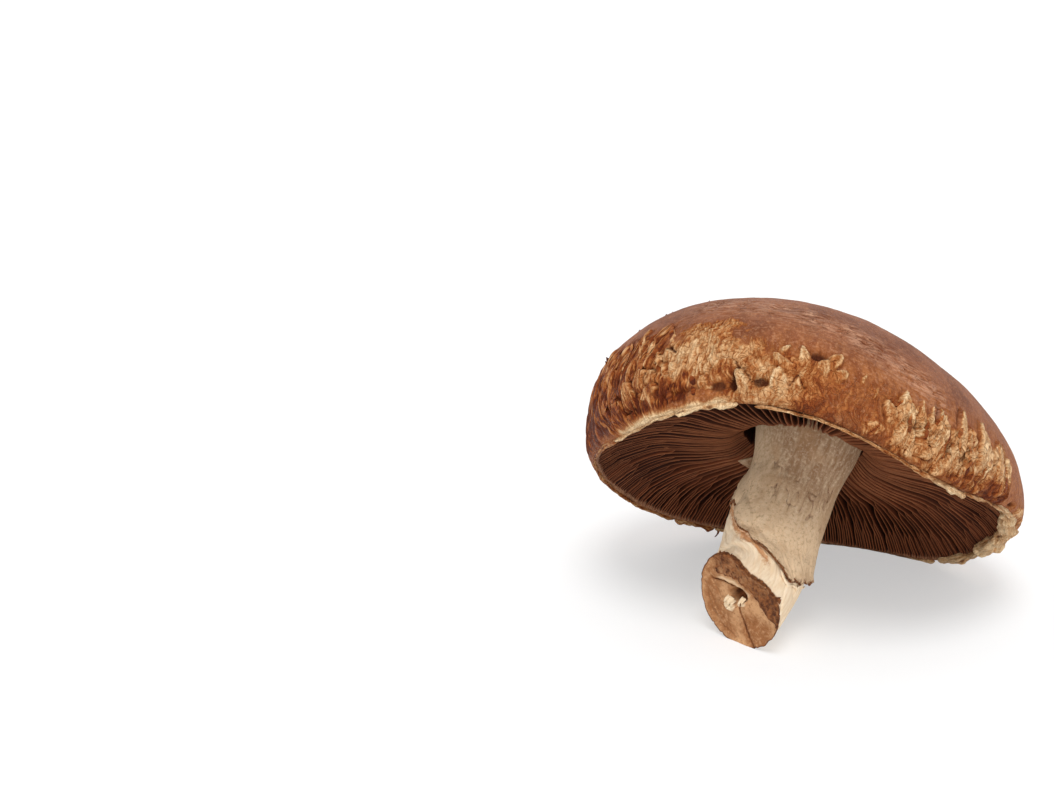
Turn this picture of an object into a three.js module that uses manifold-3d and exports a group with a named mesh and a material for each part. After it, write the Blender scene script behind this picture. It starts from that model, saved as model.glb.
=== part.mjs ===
// A portobello mushroom, picked and cut, lying on a table on the edge of its cap and the end of its stem.
// Millimetres, +Z up, the table at Z = 0 and the middle of the mushroom's box on the Z axis.
//
// Each organ is shaped upright first: the rim of the cap near the plane Z = 0, the cap's axis along +Z.
// Round the axis a place is an angle phi, from +X towards +Y. The lying group then leans it all over.

import * as THREE from "three";
import { mergeVertices } from "three/addons/utils/BufferGeometryUtils.js";
import Module from "manifold-3d";

// ---- Driving dimensions ----

// The rim, the lower edge of the cap: [order, cosine, sine] waves round a circle.
const RIM_RADIUS = 53.6;
const RIM_OUTLINE = [[1, 0.9, 0.2], [2, -0.2, 1.0], [3, 1.5, 1.6]];
const RIM_LIFT = [[2, -0.7, 0.7], [3, 1.0, 0.2], [4, 0.7, -1.2]];

// The dome: from the apex down to the belly, its widest ring, which overhangs the rim.
const CAP_HEIGHT = 43.5;
const APEX_SHIFT = new THREE.Vector2(-2.2, -0.2);
const BELLY_OVERHANG = 2.8;
const BELLY_OVERHANG_WAVES = [[1, -0.8, -0.2]];
const BELLY_HEIGHT = 9.1;
const BELLY_HEIGHT_WAVES = [[1, -4.9, 1.1]];
const DOME_POWER = 2.06;
const DOME_POWER_WAVES = [[1, -0.13, 0.05]];

// The rolled lip at the rim and the flesh ceiling that the gills hang from.
const LIP_WIDTH = 2.6;
const LIP_RISE = 0.5;
const WALL_INSET = 4.4;
const WALL_RISE = 3.2;
const CEILING_INSET = 6.5;
const CEILING_START_RISE = 5.5;
const CEILING_HEIGHT = 22.3;
const CEILING_CROWN = 1.2;

// The gills: one ridge here stands for about five of the real, paper-thin blades.
const RIDGES = 60;
const RIDGE_DEPTH = 1.6;
const GILL_OUTER_INSET = 4.0;
const GILL_ROOT_RADIUS = 17.0;
const GILL_INNER_RADIUS = 15.3;

// The blades' free edge, as [share of the way in from the rim, height]: steep inside the rim, then
// nearly level, then turned up beside the stem.
const GILL_EDGE = [[0, 1.4], [0.13, 5.4], [0.4, 8.1], [0.7, 8.7], [0.88, 9.7], [1, 12.6]];

// The stem: centre line from the ceiling down to the cut, and its radius at the same points.
const STEM_LINE = [
  [1.1, -0.1, 22.0],
  [1.1, -0.2, 13.7],
  [-0.5, -0.1, 3.3],
  [-2.2, -0.3, -4.5],
  [-3.8, -0.9, -12.8],
  [-5.2, -2.1, -20.5],
  [-7.2, -5.3, -27.7],
  [-10.4, -10.9, -33.4],
];
const STEM_RADII = [15.1, 13.7, 11.6, 11.7, 11.7, 11.2, 11.1, 12.4];

// The cut base is oblique: where it faces, and the share of the stem from which it leans over to that.
// A dried bark edge stands round a sunk face with a torn pit in its middle.
const CUT_FACING = new THREE.Vector3(-0.652, -0.467, -0.596).normalize();
const CUT_LEANS_FROM = 0.74;
const BARK_SHARE = 0.88;
const FACE_SINK = 0.8;
const PIT_RADIUS = 2.6;
const PIT_DEPTH = 4.5;

// The ring: how far down the stem its torn edge hangs round the stem, and how it flares there.
const RING_EDGE = 39.6;
const RING_EDGE_WAVES = [[1, -5.5, -8.4], [2, -2.7, 1.3], [3, -0.8, 0.9], [9, 0.35, 0.3]];
const RING_LENGTH = 11;
const RING_TOP_THICKNESS = 0.4;
const RING_EDGE_THICKNESS = 1.1;
const RING_FLARE = 0.9;

// How it lies: the leaning angles of the growth frame, and its origin's height above the table,
// which presses the soft rim and the end of the stem flat where they rest.
const LEAN = new THREE.Euler(
  THREE.MathUtils.degToRad(-35.8),
  THREE.MathUtils.degToRad(11.05),
  THREE.MathUtils.degToRad(3.5),
  "XYZ",
);
const REST_HEIGHT = 30.2;
const TABLE_SIZE = 400;

const GAP = 0.35;
const CAP_COLUMNS = 72;
const DOME_ROWS = 13;
const MARGIN_ROWS = 5;
const CEILING_ROWS = 4;
const GILL_ROWS = 10;
const STEM_COLUMNS = 32;
const STEM_ROWS = 18;
const RING_COLUMNS = 48;
const RING_ROWS = 3;

// ---- Shared shaping tools ----

// The sum of a list of [order, cosine, sine] waves at one angle.
function waves(phi, terms) {
  let sum = 0;
  for (const [order, cosine, sine] of terms) {
    sum += cosine * Math.cos(order * phi) + sine * Math.sin(order * phi);
  }
  return sum;
}

// A point at a radius and a height in the direction phi.
function aroundAxis(radius, phi, height) {
  return new THREE.Vector3(radius * Math.cos(phi), radius * Math.sin(phi), height);
}

// One closed loop of points, from a function of the angle.
function loop(columns, pointAt) {
  return Array.from({ length: columns }, (_, i) => pointAt((i / columns) * 2 * Math.PI, i));
}

// A closed skin over a stack of loops. The two ends close with a fan, or the stack closes on itself.
function skin(loops, isRing = false) {
  const columns = loops[0].length;
  const positions = loops.flat().flatMap((point) => point.toArray());
  const indices = [];
  const bands = isRing ? loops.length : loops.length - 1;
  for (let row = 0; row < bands; row += 1) {
    const upper = row * columns;
    const lower = ((row + 1) % loops.length) * columns;
    for (let i = 0; i < columns; i += 1) {
      const next = (i + 1) % columns;
      indices.push(upper + i, lower + i, upper + next);
      indices.push(upper + next, lower + i, lower + next);
    }
  }
  if (!isRing) {
    addFan(positions, indices, loops[0], 0, false);
    addFan(positions, indices, loops.at(-1), (loops.length - 1) * columns, true);
  }
  const geometry = new THREE.BufferGeometry();
  geometry.setAttribute("position", new THREE.Float32BufferAttribute(positions, 3));
  geometry.setIndex(indices);
  return facingOut(geometry);
}

// A fan from the middle of an end loop to its points.
function addFan(positions, indices, end, first, isLast) {
  const middle = new THREE.Vector3();
  end.forEach((point) => middle.addScaledVector(point, 1 / end.length));
  const centre = positions.length / 3;
  positions.push(...middle.toArray());
  for (let i = 0; i < end.length; i += 1) {
    const next = (i + 1) % end.length;
    const pair = isLast ? [first + next, first + i] : [first + i, first + next];
    indices.push(centre, ...pair);
  }
}

// Turns every face round if the skin's volume comes out negative.
function facingOut(geometry) {
  const place = geometry.attributes.position;
  const index = geometry.index.array;
  const [a, b, c] = [new THREE.Vector3(), new THREE.Vector3(), new THREE.Vector3()];
  let volume = 0;
  for (let i = 0; i < index.length; i += 3) {
    a.fromBufferAttribute(place, index[i]);
    b.fromBufferAttribute(place, index[i + 1]);
    c.fromBufferAttribute(place, index[i + 2]);
    volume += a.dot(b.cross(c));
  }
  if (volume < 0) {
    for (let i = 0; i < index.length; i += 3) {
      [index[i + 1], index[i + 2]] = [index[i + 2], index[i + 1]];
    }
  }
  return geometry;
}

// ---- The rim and the cap ----

const rimRadius = (phi) => RIM_RADIUS + waves(phi, RIM_OUTLINE);
const rimHeight = (phi) => waves(phi, RIM_LIFT);
const bellyRadius = (phi) => rimRadius(phi) + BELLY_OVERHANG + waves(phi, BELLY_OVERHANG_WAVES);
const bellyHeight = (phi) => BELLY_HEIGHT + waves(phi, BELLY_HEIGHT_WAVES);

// The dome at a steepness from 0, the belly, to a quarter turn, the apex.
function domePoint(phi, steepness) {
  const power = 2 / (DOME_POWER + waves(phi, DOME_POWER_WAVES));
  const reach = Math.cos(steepness) ** power;
  const climb = Math.sin(steepness) ** power;
  const height = THREE.MathUtils.lerp(bellyHeight(phi), CAP_HEIGHT, climb);
  const point = aroundAxis(bellyRadius(phi) * reach, phi, height);
  point.x += APEX_SHIFT.x * climb ** 2;
  point.y += APEX_SHIFT.y * climb ** 2;
  return point;
}

// The margin, where the skin rolls in from the belly to the rim: turn runs from 0 to a quarter turn.
function marginPoint(phi, turn) {
  const radius = THREE.MathUtils.lerp(rimRadius(phi), bellyRadius(phi), Math.cos(turn));
  const height = THREE.MathUtils.lerp(bellyHeight(phi), rimHeight(phi), Math.sin(turn));
  return aroundAxis(radius, phi, height);
}

// The flesh ceiling over the gills: along runs from 0 at the rim's wall to 1 at the stem.
function ceilingPoint(phi, along) {
  const radius = THREE.MathUtils.lerp(rimRadius(phi) - CEILING_INSET, GILL_ROOT_RADIUS, along);
  const start = rimHeight(phi) + CEILING_START_RISE;
  const crown = CEILING_CROWN * Math.sin(Math.PI * along);
  return aroundAxis(radius, phi, THREE.MathUtils.lerp(start, CEILING_HEIGHT, along) + crown);
}

function makeCap() {
  const quarter = Math.PI / 2;
  const loops = [];
  for (let row = 1; row <= DOME_ROWS; row += 1) {
    const steepness = quarter * (1 - row / DOME_ROWS);
    loops.push(loop(CAP_COLUMNS, (phi) => domePoint(phi, steepness)));
  }
  for (let row = 1; row <= MARGIN_ROWS; row += 1) {
    const turn = (quarter * row) / MARGIN_ROWS;
    loops.push(loop(CAP_COLUMNS, (phi) => marginPoint(phi, turn)));
  }
  const insideRim = (inset, rise) => (phi) => aroundAxis(rimRadius(phi) - inset, phi, rimHeight(phi) + rise);
  loops.push(loop(CAP_COLUMNS, insideRim(LIP_WIDTH, LIP_RISE)));
  loops.push(loop(CAP_COLUMNS, insideRim(WALL_INSET, WALL_RISE)));
  for (let row = 0; row <= CEILING_ROWS; row += 1) {
    loops.push(loop(CAP_COLUMNS, (phi) => ceilingPoint(phi, row / CEILING_ROWS)));
  }
  return skin(loops);
}

// ---- The gills ----

const gillEdge = new THREE.SplineCurve(GILL_EDGE.map((place) => new THREE.Vector2(...place)));

// The free edge of the blades: run goes from 0 at the rim to 1 beside the stem. Near the rim the
// edge follows the waves of the rim.
function gillEdgePoint(phi, run, lift) {
  const { x: along, y: height } = gillEdge.getPoint(run);
  const radius = THREE.MathUtils.lerp(rimRadius(phi) - GILL_OUTER_INSET, GILL_INNER_RADIUS, along);
  return aroundAxis(radius, phi, height + lift + rimHeight(phi) * (1 - along));
}

function makeGills() {
  const columns = 2 * RIDGES;
  const loops = [];
  for (let row = 0; row <= GILL_ROWS; row += 1) {
    const run = row / GILL_ROWS;
    const depth = RIDGE_DEPTH * Math.sin(Math.PI * run) ** 0.5;
    loops.push(loop(columns, (phi, i) => gillEdgePoint(phi, run, (i % 2) * depth)));
  }
  for (let row = CEILING_ROWS; row >= 0; row -= 1) {
    loops.push(loop(columns, (phi) => {
      const point = ceilingPoint(phi, row / CEILING_ROWS);
      const inward = row === CEILING_ROWS ? 0 : GAP / point.length();
      return point.multiplyScalar(1 - inward).setZ(point.z - GAP);
    }));
  }
  const outerEnd = (phi) => aroundAxis(rimRadius(phi) - WALL_INSET - 2 * GAP, phi, rimHeight(phi) + WALL_RISE);
  loops.push(loop(columns, outerEnd));
  return skin(loops, true);
}

// ---- The stem ----

const stemCurve = new THREE.CatmullRomCurve3(STEM_LINE.map((point) => new THREE.Vector3(...point)));
const radiusCurve = new THREE.SplineCurve(STEM_RADII.map((radius, i) => new THREE.Vector2(i, radius)));
const STEM_LENGTH = stemCurve.getLength();

// The centre, the radius and two sideways directions of the stem at a share of its length.
function stemStation(share) {
  const centre = stemCurve.getPointAt(share);
  const lean = THREE.MathUtils.smoothstep(share, CUT_LEANS_FROM, 1);
  const down = stemCurve.getTangentAt(share).lerp(CUT_FACING, lean).normalize();
  const left = new THREE.Vector3(0, 1, 0).cross(down).normalize();
  const back = down.clone().cross(left);
  const radius = radiusCurve.getPoint(stemCurve.getUtoTmapping(share)).y;
  return { centre, down, left, back, radius };
}

// A point beside the stem: psi turns round it, sunk moves it back up inside the cut.
function besideStem(share, psi, radius, sunk = 0) {
  const { centre, down, left, back } = stemStation(share);
  return centre
    .addScaledVector(left, radius * Math.cos(psi))
    .addScaledVector(back, radius * Math.sin(psi))
    .addScaledVector(down, -sunk);
}

function makeStem() {
  const loops = [];
  for (let row = 0; row <= STEM_ROWS; row += 1) {
    const share = row / STEM_ROWS;
    loops.push(loop(STEM_COLUMNS, (psi) => besideStem(share, psi, stemStation(share).radius)));
  }
  const face = BARK_SHARE * stemStation(1).radius;
  const cutSteps = [[face, 0], [face - FACE_SINK, FACE_SINK], [PIT_RADIUS, FACE_SINK], [PIT_RADIUS / 2, PIT_DEPTH]];
  for (const [radius, sunk] of cutSteps) {
    loops.push(loop(STEM_COLUMNS, (psi) => besideStem(1, psi, radius, sunk)));
  }
  return skin(loops);
}

// ---- The ring ----

function makeRing() {
  const edgeAt = (psi) => RING_EDGE + waves(psi, RING_EDGE_WAVES);
  const sheet = (along, isOuter) => (psi) => {
    const share = (edgeAt(psi) - RING_LENGTH * (1 - along)) / STEM_LENGTH;
    const thickness = THREE.MathUtils.lerp(RING_TOP_THICKNESS, RING_EDGE_THICKNESS, along);
    const offset = GAP + RING_FLARE * along ** 2 + (isOuter ? thickness : 0);
    return besideStem(share, psi, stemStation(share).radius + offset);
  };
  const loops = [];
  for (let row = 0; row <= RING_ROWS; row += 1) {
    loops.push(loop(RING_COLUMNS, sheet(row / RING_ROWS, true)));
  }
  for (let row = RING_ROWS; row >= 0; row -= 1) {
    loops.push(loop(RING_COLUMNS, sheet(row / RING_ROWS, false)));
  }
  return skin(loops, true);
}

// ---- Pressing flat on the table ----

const wasm = await Module();
wasm.setup();

function toSolid(geometry) {
  const bare = geometry.clone();
  bare.deleteAttribute("normal");
  bare.deleteAttribute("uv");
  const merged = mergeVertices(bare);
  const vertProperties = merged.attributes.position.array;
  const triVerts = new Uint32Array(merged.index.array);
  return new wasm.Manifold(new wasm.Mesh({ numProp: 3, vertProperties, triVerts }));
}

function fromSolid(solid) {
  const mesh = solid.getMesh();
  const geometry = new THREE.BufferGeometry();
  geometry.setAttribute("position", new THREE.Float32BufferAttribute(mesh.vertProperties, mesh.numProp));
  geometry.setIndex(new THREE.BufferAttribute(mesh.triVerts, 1));
  return geometry;
}

// The table as a block in the growth frame, so that it can be cut off an upright shape.
function tableBlock() {
  const block = new THREE.BoxGeometry(TABLE_SIZE, TABLE_SIZE, TABLE_SIZE);
  block.translate(0, 0, -TABLE_SIZE / 2 - REST_HEIGHT);
  return block.applyMatrix4(new THREE.Matrix4().makeRotationFromEuler(LEAN).invert());
}

const table = toSolid(tableBlock());

function pressedFlat(geometry) {
  return fromSolid(toSolid(geometry).subtract(table));
}

// ---- The mushroom ----

const mushroom = new THREE.Group();
const lying = new THREE.Group();
lying.rotation.copy(LEAN);
lying.position.z = REST_HEIGHT;
mushroom.add(lying);

function addOrgan(name, geometry, color, roughness) {
  const material = new THREE.MeshStandardMaterial({ color, roughness, metalness: 0, flatShading: true });
  const mesh = new THREE.Mesh(geometry, material);
  mesh.name = name;
  lying.add(mesh);
}

addOrgan("cap", pressedFlat(makeCap()), 0xa9663f, 0.6);
addOrgan("gills", makeGills(), 0x523328, 0.9);
addOrgan("stem", pressedFlat(makeStem()), 0xcdb894, 0.8);
addOrgan("ring", makeRing(), 0xd8c196, 0.85);

// The middle of the lying mushroom's box goes over the origin.
const middle = new THREE.Box3().setFromObject(mushroom, true).getCenter(new THREE.Vector3());
lying.position.x = -middle.x;
lying.position.y = -middle.y;

export default mushroom;
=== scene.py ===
# %% [markdown]
# # A portobello mushroom, lying on the edge of its cap
#
# This lesson builds the looks of a picked portobello: a weathered brown cap with torn, scaly skin near
# its rim, dark gills under it, and a thick pale stem with a torn ring and a cut, dried base.
# The sizes come from a CAD model, which is loaded first and never changed. Every piece made here takes
# the place of one CAD solid, or lies on its skin.

import math

import bpy
import numpy as np
from mathutils import Matrix, Vector


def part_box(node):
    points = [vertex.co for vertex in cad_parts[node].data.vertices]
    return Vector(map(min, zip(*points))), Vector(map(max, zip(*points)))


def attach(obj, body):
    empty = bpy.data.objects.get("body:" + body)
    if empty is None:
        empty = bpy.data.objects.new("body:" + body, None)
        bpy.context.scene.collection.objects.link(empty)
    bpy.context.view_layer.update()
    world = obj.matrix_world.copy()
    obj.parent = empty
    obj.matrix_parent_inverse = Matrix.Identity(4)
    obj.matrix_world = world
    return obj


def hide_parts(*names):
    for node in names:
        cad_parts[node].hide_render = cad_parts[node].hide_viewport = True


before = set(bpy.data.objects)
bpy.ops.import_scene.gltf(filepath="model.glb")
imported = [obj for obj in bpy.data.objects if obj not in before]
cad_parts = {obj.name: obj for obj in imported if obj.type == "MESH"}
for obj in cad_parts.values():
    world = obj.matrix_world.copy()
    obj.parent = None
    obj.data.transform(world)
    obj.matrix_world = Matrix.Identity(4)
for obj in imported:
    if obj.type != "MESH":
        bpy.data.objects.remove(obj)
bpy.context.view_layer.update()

# %% [markdown]
# ## The growth frame
#
# A mushroom is easiest to describe upright, as it grew: the rim of its cap near the plane Z = 0 and the
# cap's axis up. Round the axis a place is an angle, and up the skin it is a length from the rim.
# All shapes below are in millimetres in that growth frame. One function then leans them over, so that
# the rim and the end of the stem touch the table.

# %% The growth frame
MM = 0.001
LEAN_DEG = (-35.8, 11.05, 3.5)
REST_HEIGHT = 30.2
TAU = 2 * math.pi

lean_turns = [Matrix.Rotation(math.radians(angle), 3, axis) for angle, axis in zip(LEAN_DEG, "XYZ")]
LEAN = np.array(lean_turns[0] @ lean_turns[1] @ lean_turns[2])


def waves(phi, terms):
    """The sum of a list of (order, cosine, sine) waves at an angle."""
    total = np.zeros_like(phi)
    for order, cosine, sine in terms:
        total = total + cosine * np.cos(order * phi) + sine * np.sin(order * phi)
    return total


def triples(x, y, z):
    """Points from their three coordinates, each of which is an array or one number for all."""
    return np.stack(np.broadcast_arrays(x, y, z), -1)


def around_axis(radius, phi, height):
    """Points at a radius and a height in the direction phi."""
    return triples(radius * np.cos(phi), radius * np.sin(phi), height)


def ease(low, high, value):
    """Rises smoothly from 0 to 1 as the value goes from low to high."""
    share = np.clip((value - low) / (high - low), 0, 1)
    return share * share * (3 - 2 * share)


def lerp(a, b, share):
    """Between two values: a where the share is 0, and b where it is 1."""
    return a + (b - a) * share


def bell(value, width):
    """A soft bump: 1 where the value is 0, and nearly 0 two widths from there."""
    return np.exp(-((value / width) ** 2))


# %% [markdown]
# ## The bare cap
#
# The cap is a dome that rolls in at its margin to the rim. The dome's outline from the side is close to
# an ellipse, and it is a little higher, wider and steeper on some sides than on others.
# The same few numbers shape the CAD solid, so the two skins lie on each other.

# %% The bare cap
RIM_RADIUS = 53.6
RIM_OUTLINE = [(1, 0.9, 0.2), (2, -0.2, 1.0), (3, 1.5, 1.6)]
RIM_LIFT = [(2, -0.7, 0.7), (3, 1.0, 0.2), (4, 0.7, -1.2)]
CAP_HEIGHT = 43.5
APEX_SHIFT = (-2.2, -0.2)
BELLY_OVERHANG = 2.8
BELLY_OUTLINE = [(1, -0.8, -0.2)]
BELLY_HEIGHT = 9.1
BELLY_LIFT = [(1, -4.9, 1.1)]
DOME_POWER = 2.06
DOME_POWER_WAVES = [(1, -0.13, 0.05)]


def rim_radius(phi):
    """How far the rim is from the cap's axis."""
    return RIM_RADIUS + waves(phi, RIM_OUTLINE)


def rim_height(phi):
    """How high the rim is, round 0."""
    return waves(phi, RIM_LIFT)


def belly(phi):
    """The radius and the height of the cap's widest line."""
    radius = rim_radius(phi) + BELLY_OVERHANG + waves(phi, BELLY_OUTLINE)
    return radius, BELLY_HEIGHT + waves(phi, BELLY_LIFT)


def dome(phi, steepness):
    """A point of the dome: steepness goes from 0 at the belly to a quarter turn at the apex."""
    radius, height = belly(phi)
    power = 2 / (DOME_POWER + waves(phi, DOME_POWER_WAVES))
    climb = np.sin(steepness) ** power
    points = around_axis(radius * np.clip(np.cos(steepness), 0, 1) ** power, phi, 0)
    points[..., 0] += APEX_SHIFT[0] * climb**2
    points[..., 1] += APEX_SHIFT[1] * climb**2
    points[..., 2] = lerp(height, CAP_HEIGHT, climb)
    return points


def margin(phi, turn):
    """A point of the margin: turn goes from 0 at the belly to a quarter turn at the rim."""
    radius, height = belly(phi)
    radius = lerp(rim_radius(phi), radius, np.cos(turn))
    return around_axis(radius, phi, lerp(height, rim_height(phi), np.sin(turn)))


# %% [markdown]
# ## A map of the skin
#
# Marks on the skin are easiest to place by an angle round the cap and a length up from the rim. So the
# bare skin is measured once along many lines from the rim to the apex, and a table keeps where each
# length falls. Any place on the skin is then read from the table.

# %% The map of the skin
MAP_COLUMNS = 720
MAP_ROWS = 256


def measured_skin():
    """The map: for each direction a line of points at even lengths up the skin, and its whole length."""
    phi = np.arange(MAP_COLUMNS) / MAP_COLUMNS * TAU
    lines = [margin(phi, turn) for turn in np.linspace(math.pi / 2, 0, 80)]
    lines += [dome(phi, steepness) for steepness in np.linspace(0, math.pi / 2, 400)[1:]]
    lines = np.array(lines)
    lengths = np.linalg.norm(np.diff(lines, axis=0), axis=2).cumsum(axis=0)
    lengths = np.vstack([np.zeros(MAP_COLUMNS), lengths])
    shares = np.linspace(0, 1, MAP_ROWS)
    points = np.zeros((MAP_ROWS, MAP_COLUMNS, 3))
    for column, axis in np.ndindex(MAP_COLUMNS, 3):
        ups = lengths[:, column] / lengths[-1, column]
        points[:, column, axis] = np.interp(shares, ups, lines[:, column, axis])
    return points, lengths[-1]


skin_map, skin_length = measured_skin()
lying_map = skin_map.reshape(-1, 3) @ LEAN.T
middle_x, middle_y = (lying_map.min(0) + lying_map.max(0))[:2] / 2
cap_low, cap_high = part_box("cap")
ORIGIN = np.array([
    (cap_low.x + cap_high.x) / 2 / MM - middle_x,
    (cap_low.y + cap_high.y) / 2 / MM - middle_y,
    REST_HEIGHT,
])
print("growth origin, mm:", ORIGIN.round(2), "skin from rim to apex, mm:", skin_length.mean().round(1))


def lying(points):
    """Growth-frame millimetres to metres in the CAD frame, leaned over onto the table."""
    return (points @ LEAN.T + ORIGIN) * MM


def map_columns(phi):
    """The map's columns on both sides of a direction, and how far it is from the one to the other."""
    place = (phi / TAU % 1) * MAP_COLUMNS
    left = np.floor(place).astype(int)
    return left % MAP_COLUMNS, (left + 1) % MAP_COLUMNS, place - left


def length_at(phi):
    """The whole length of the skin from the rim to the apex in a direction."""
    left, right, part = map_columns(phi)
    return lerp(skin_length[left], skin_length[right], part)


def on_map(phi, up):
    """The bare skin's point at an angle and a length up from the rim, in mm."""
    left, right, part = map_columns(phi)
    row = np.clip(up / length_at(phi), 0, 1) * (MAP_ROWS - 1)
    low = np.minimum(np.floor(row).astype(int), MAP_ROWS - 2)
    below, above = (lerp(skin_map[r, left], skin_map[r, right], part[..., None]) for r in (low, low + 1))
    return lerp(below, above, (row - low)[..., None])


def unit(vectors):
    """Vectors made 1 long."""
    return vectors / np.maximum(np.linalg.norm(vectors, axis=-1, keepdims=True), 1e-9)


def skin_axes(phi, up):
    """Directions on the bare skin: round the cap, up the skin, and straight out of it."""
    step = 0.008
    reach = np.clip(up, 0.4, length_at(phi) - 0.6)
    across = unit(on_map(phi + step, reach) - on_map(phi - step, reach))
    along = unit(on_map(phi, reach + 0.4) - on_map(phi, reach - 0.4))
    return across, along, unit(np.cross(across, along))


# %% [markdown]
# ## Noise that can be repeated
#
# Torn skin looks random, but the file has to build the same mushroom each time. A hash turns whole
# numbers into fixed random numbers. From it comes smooth noise, for swellings, creases and ragged edges,
# and rough noise, which is the same with finer and fainter noise on it.

# %% Noise helpers
def hashed(x, y, z, seed):
    """A fixed random number from 0 to 1 for each whole-number place."""
    mixed = ((x * 73856093) ^ (y * 19349663) ^ (z * 83492791) ^ (seed * 49979687)) & 0xFFFFFFFF
    mixed = ((mixed ^ (mixed >> 15)) * 0x2C1B3C6D) & 0xFFFFFFFF
    mixed = ((mixed ^ (mixed >> 12)) * 0x297A2D39) & 0xFFFFFFFF
    return ((mixed ^ (mixed >> 15)) & 0xFFFFFF) / 0xFFFFFF


def soft_noise(places, seed):
    """Smooth noise from -1 to 1, with one swelling about every unit."""
    base = np.floor(places).astype(np.int64)
    part = places - base
    part = part * part * (3 - 2 * part)
    total = np.zeros(places.shape[:-1])
    for corner in np.ndindex(2, 2, 2):
        weight = np.prod(np.where(corner, part, 1 - part), axis=-1)
        total += weight * hashed(*(base[..., i] + corner[i] for i in range(3)), seed)
    return 2 * total - 1


def rough_noise(places, seed, octaves=3):
    """Noise with finer and fainter noise on it."""
    total = np.zeros(places.shape[:-1])
    for octave in range(octaves):
        total += soft_noise(places * 2**octave + 7.3 * octave, seed + octave) / 2**octave
    return total * 0.7


def round_cap(phi, up, across, along):
    """Noise places on the skin for features `across` mm wide round the cap and `along` mm long up it."""
    return around_axis(RIM_RADIUS / across, phi, up / along)


def cap_noise(phi, up, across, along, seed, octaves=3):
    """Rough noise on the skin of the cap."""
    return rough_noise(round_cap(phi, up, across, along), seed, octaves)


# %% [markdown]
# ## Kinds of skin
#
# The crown is whole, smooth skin with a few thin cracks. Towards the rim the skin has torn: on the left
# into long ridges and shingle-like scales, on the right into pale pointed flaps, with a mottled stretch
# between them. Each kind of torn skin fills a zone, given by two directions and two heights, and is made
# of wrinkles of its own width and length. Creases are thin and long, as the skin splits along its fibres.

# %% Directions and strands
def degrees_from(phi, centre):
    """Signed degrees from a direction, from -180 to 180."""
    return (np.degrees(phi) - centre + 180) % 360 - 180


MM_PER_DEGREE = RIM_RADIUS * math.pi / 180


def along_strands(phi, up):
    """The direction each strand of the torn skin starts from: strands are slanted, and bend at the left."""
    degrees = np.degrees(phi) % 360
    turning = np.sqrt((up - 12) ** 2 + 16)
    above = (up - 12 + turning) / 2
    below = (up - 12 - turning) / 2
    left = ease(240, 222, degrees) * ease(174, 204, degrees)
    lowest = ease(224, 206, degrees) * ease(174, 204, degrees)
    right = ease(270, 300, degrees) * ease(360, 340, degrees)
    wavy = 0.014 + 0.026 * ease(228, 240, degrees) * ease(345, 335, degrees)
    sway = wavy * cap_noise(phi, up, 4.5, 4.5, 90)
    return phi - 0.014 * above * left + 0.021 * below * lowest - 0.006 * up * right + sway


# %% Torn skin
class Skin:
    """Places on the cap, with the height over the bare skin in mm and the marks they have so far."""

    def __init__(self, phi, up):
        self.phi = phi
        self.up = up
        self.degrees = np.degrees(phi) % 360
        self.patchy = 0.5 + 0.5 * self.noise(4, 4, 7)
        self.mottle = cap_noise(phi, up, 4.0, 5.0, 83, 4)
        self.height, self.torn, self.pale, self.dark, self.strands = (np.zeros(phi.shape) for _ in range(5))

    def noise(self, across, along, seed):
        """Rough noise `across` mm wide and `along` mm long."""
        return cap_noise(self.phi, self.up, across, along, seed)

    def blob(self, centre, half, ragged, seed, soft):
        """A ragged oval: 1 inside, 0 outside. The half sizes are in mm round and up the cap."""
        across = degrees_from(self.phi, centre[0]) * MM_PER_DEGREE / half[0]
        along = (self.up - centre[1]) / half[1]
        far = np.hypot(across, along) + ragged * self.noise(2.2, 2.2, seed)
        return 1 - ease(1 - soft, 1 + soft, far)

    def zone(self, side, height, seed, soft=3.0, ragged=2.0):
        """A stretch between two directions and two heights, with uneven edges, soft mm wide."""
        wander = ragged * self.noise(5, 5, seed)
        half = (side[1] - side[0]) / 2
        edge = (half - np.abs(degrees_from(self.phi, side[0] + half))) * MM_PER_DEGREE + wander
        up = self.up + wander
        inside = ease(0, soft, edge) * ease(height[0] - soft / 2, height[0] + soft / 2, up)
        return inside * (1 - ease(height[1] - soft / 2, height[1] + soft / 2, up))

    def wrinkles(self, width, length, seed):
        """Wrinkled skin: its height from 0 in the creases to 1, and how deep in a crease each place is."""
        drift = 0.5 * width / RIM_RADIUS * self.noise(6, 9, seed + 20)
        turned = along_strands(self.phi, self.up) + drift
        wide = np.abs(soft_noise(round_cap(turned, self.up, width, length), seed))
        fine = np.abs(soft_noise(round_cap(turned, self.up, 0.5 * width, 0.6 * length), seed + 1))
        height = 0.75 * np.minimum(1, wide / 0.5) ** 0.8 + 0.25 * np.minimum(1, fine / 0.5) ** 0.8
        return height, 1 - ease(0.02, 0.24, wide)

    def tear(self, here, ridge, crease, depth, low, high, stringy):
        """Puts torn skin where `here` is 1: wrinkles `depth` mm deep, from `low` to `high` in paleness, so
        the ridges get a painted highlight and the creases painted shade.
        """
        self.height = lerp(self.height, depth * (ridge - 0.5), here)
        self.torn = np.maximum(self.torn, here)
        self.pale = lerp(self.pale, lerp(low, high, ridge), here)
        self.dark = lerp(self.dark, crease, here)
        self.strands = lerp(self.strands, stringy, here)


# %% [markdown]
# ## Single flaps and hollows
#
# Some flaps and hollows are big enough to be told apart, so they are listed. A flap has a foot, where
# it still holds, and a tip, where it stands off the skin. Its outline is one of three: a pointed spike,
# a round-ended scale, or a petal that is narrow at both ends.

# %% Single flaps and hollows
OUTLINES = {
    "spike": lambda share: (1 - share) ** 0.85,
    "scale": lambda share: np.sqrt(1 - share**4),
    "petal": lambda share: np.sqrt(1 - (2 * share - 1) ** 2),
}
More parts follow.
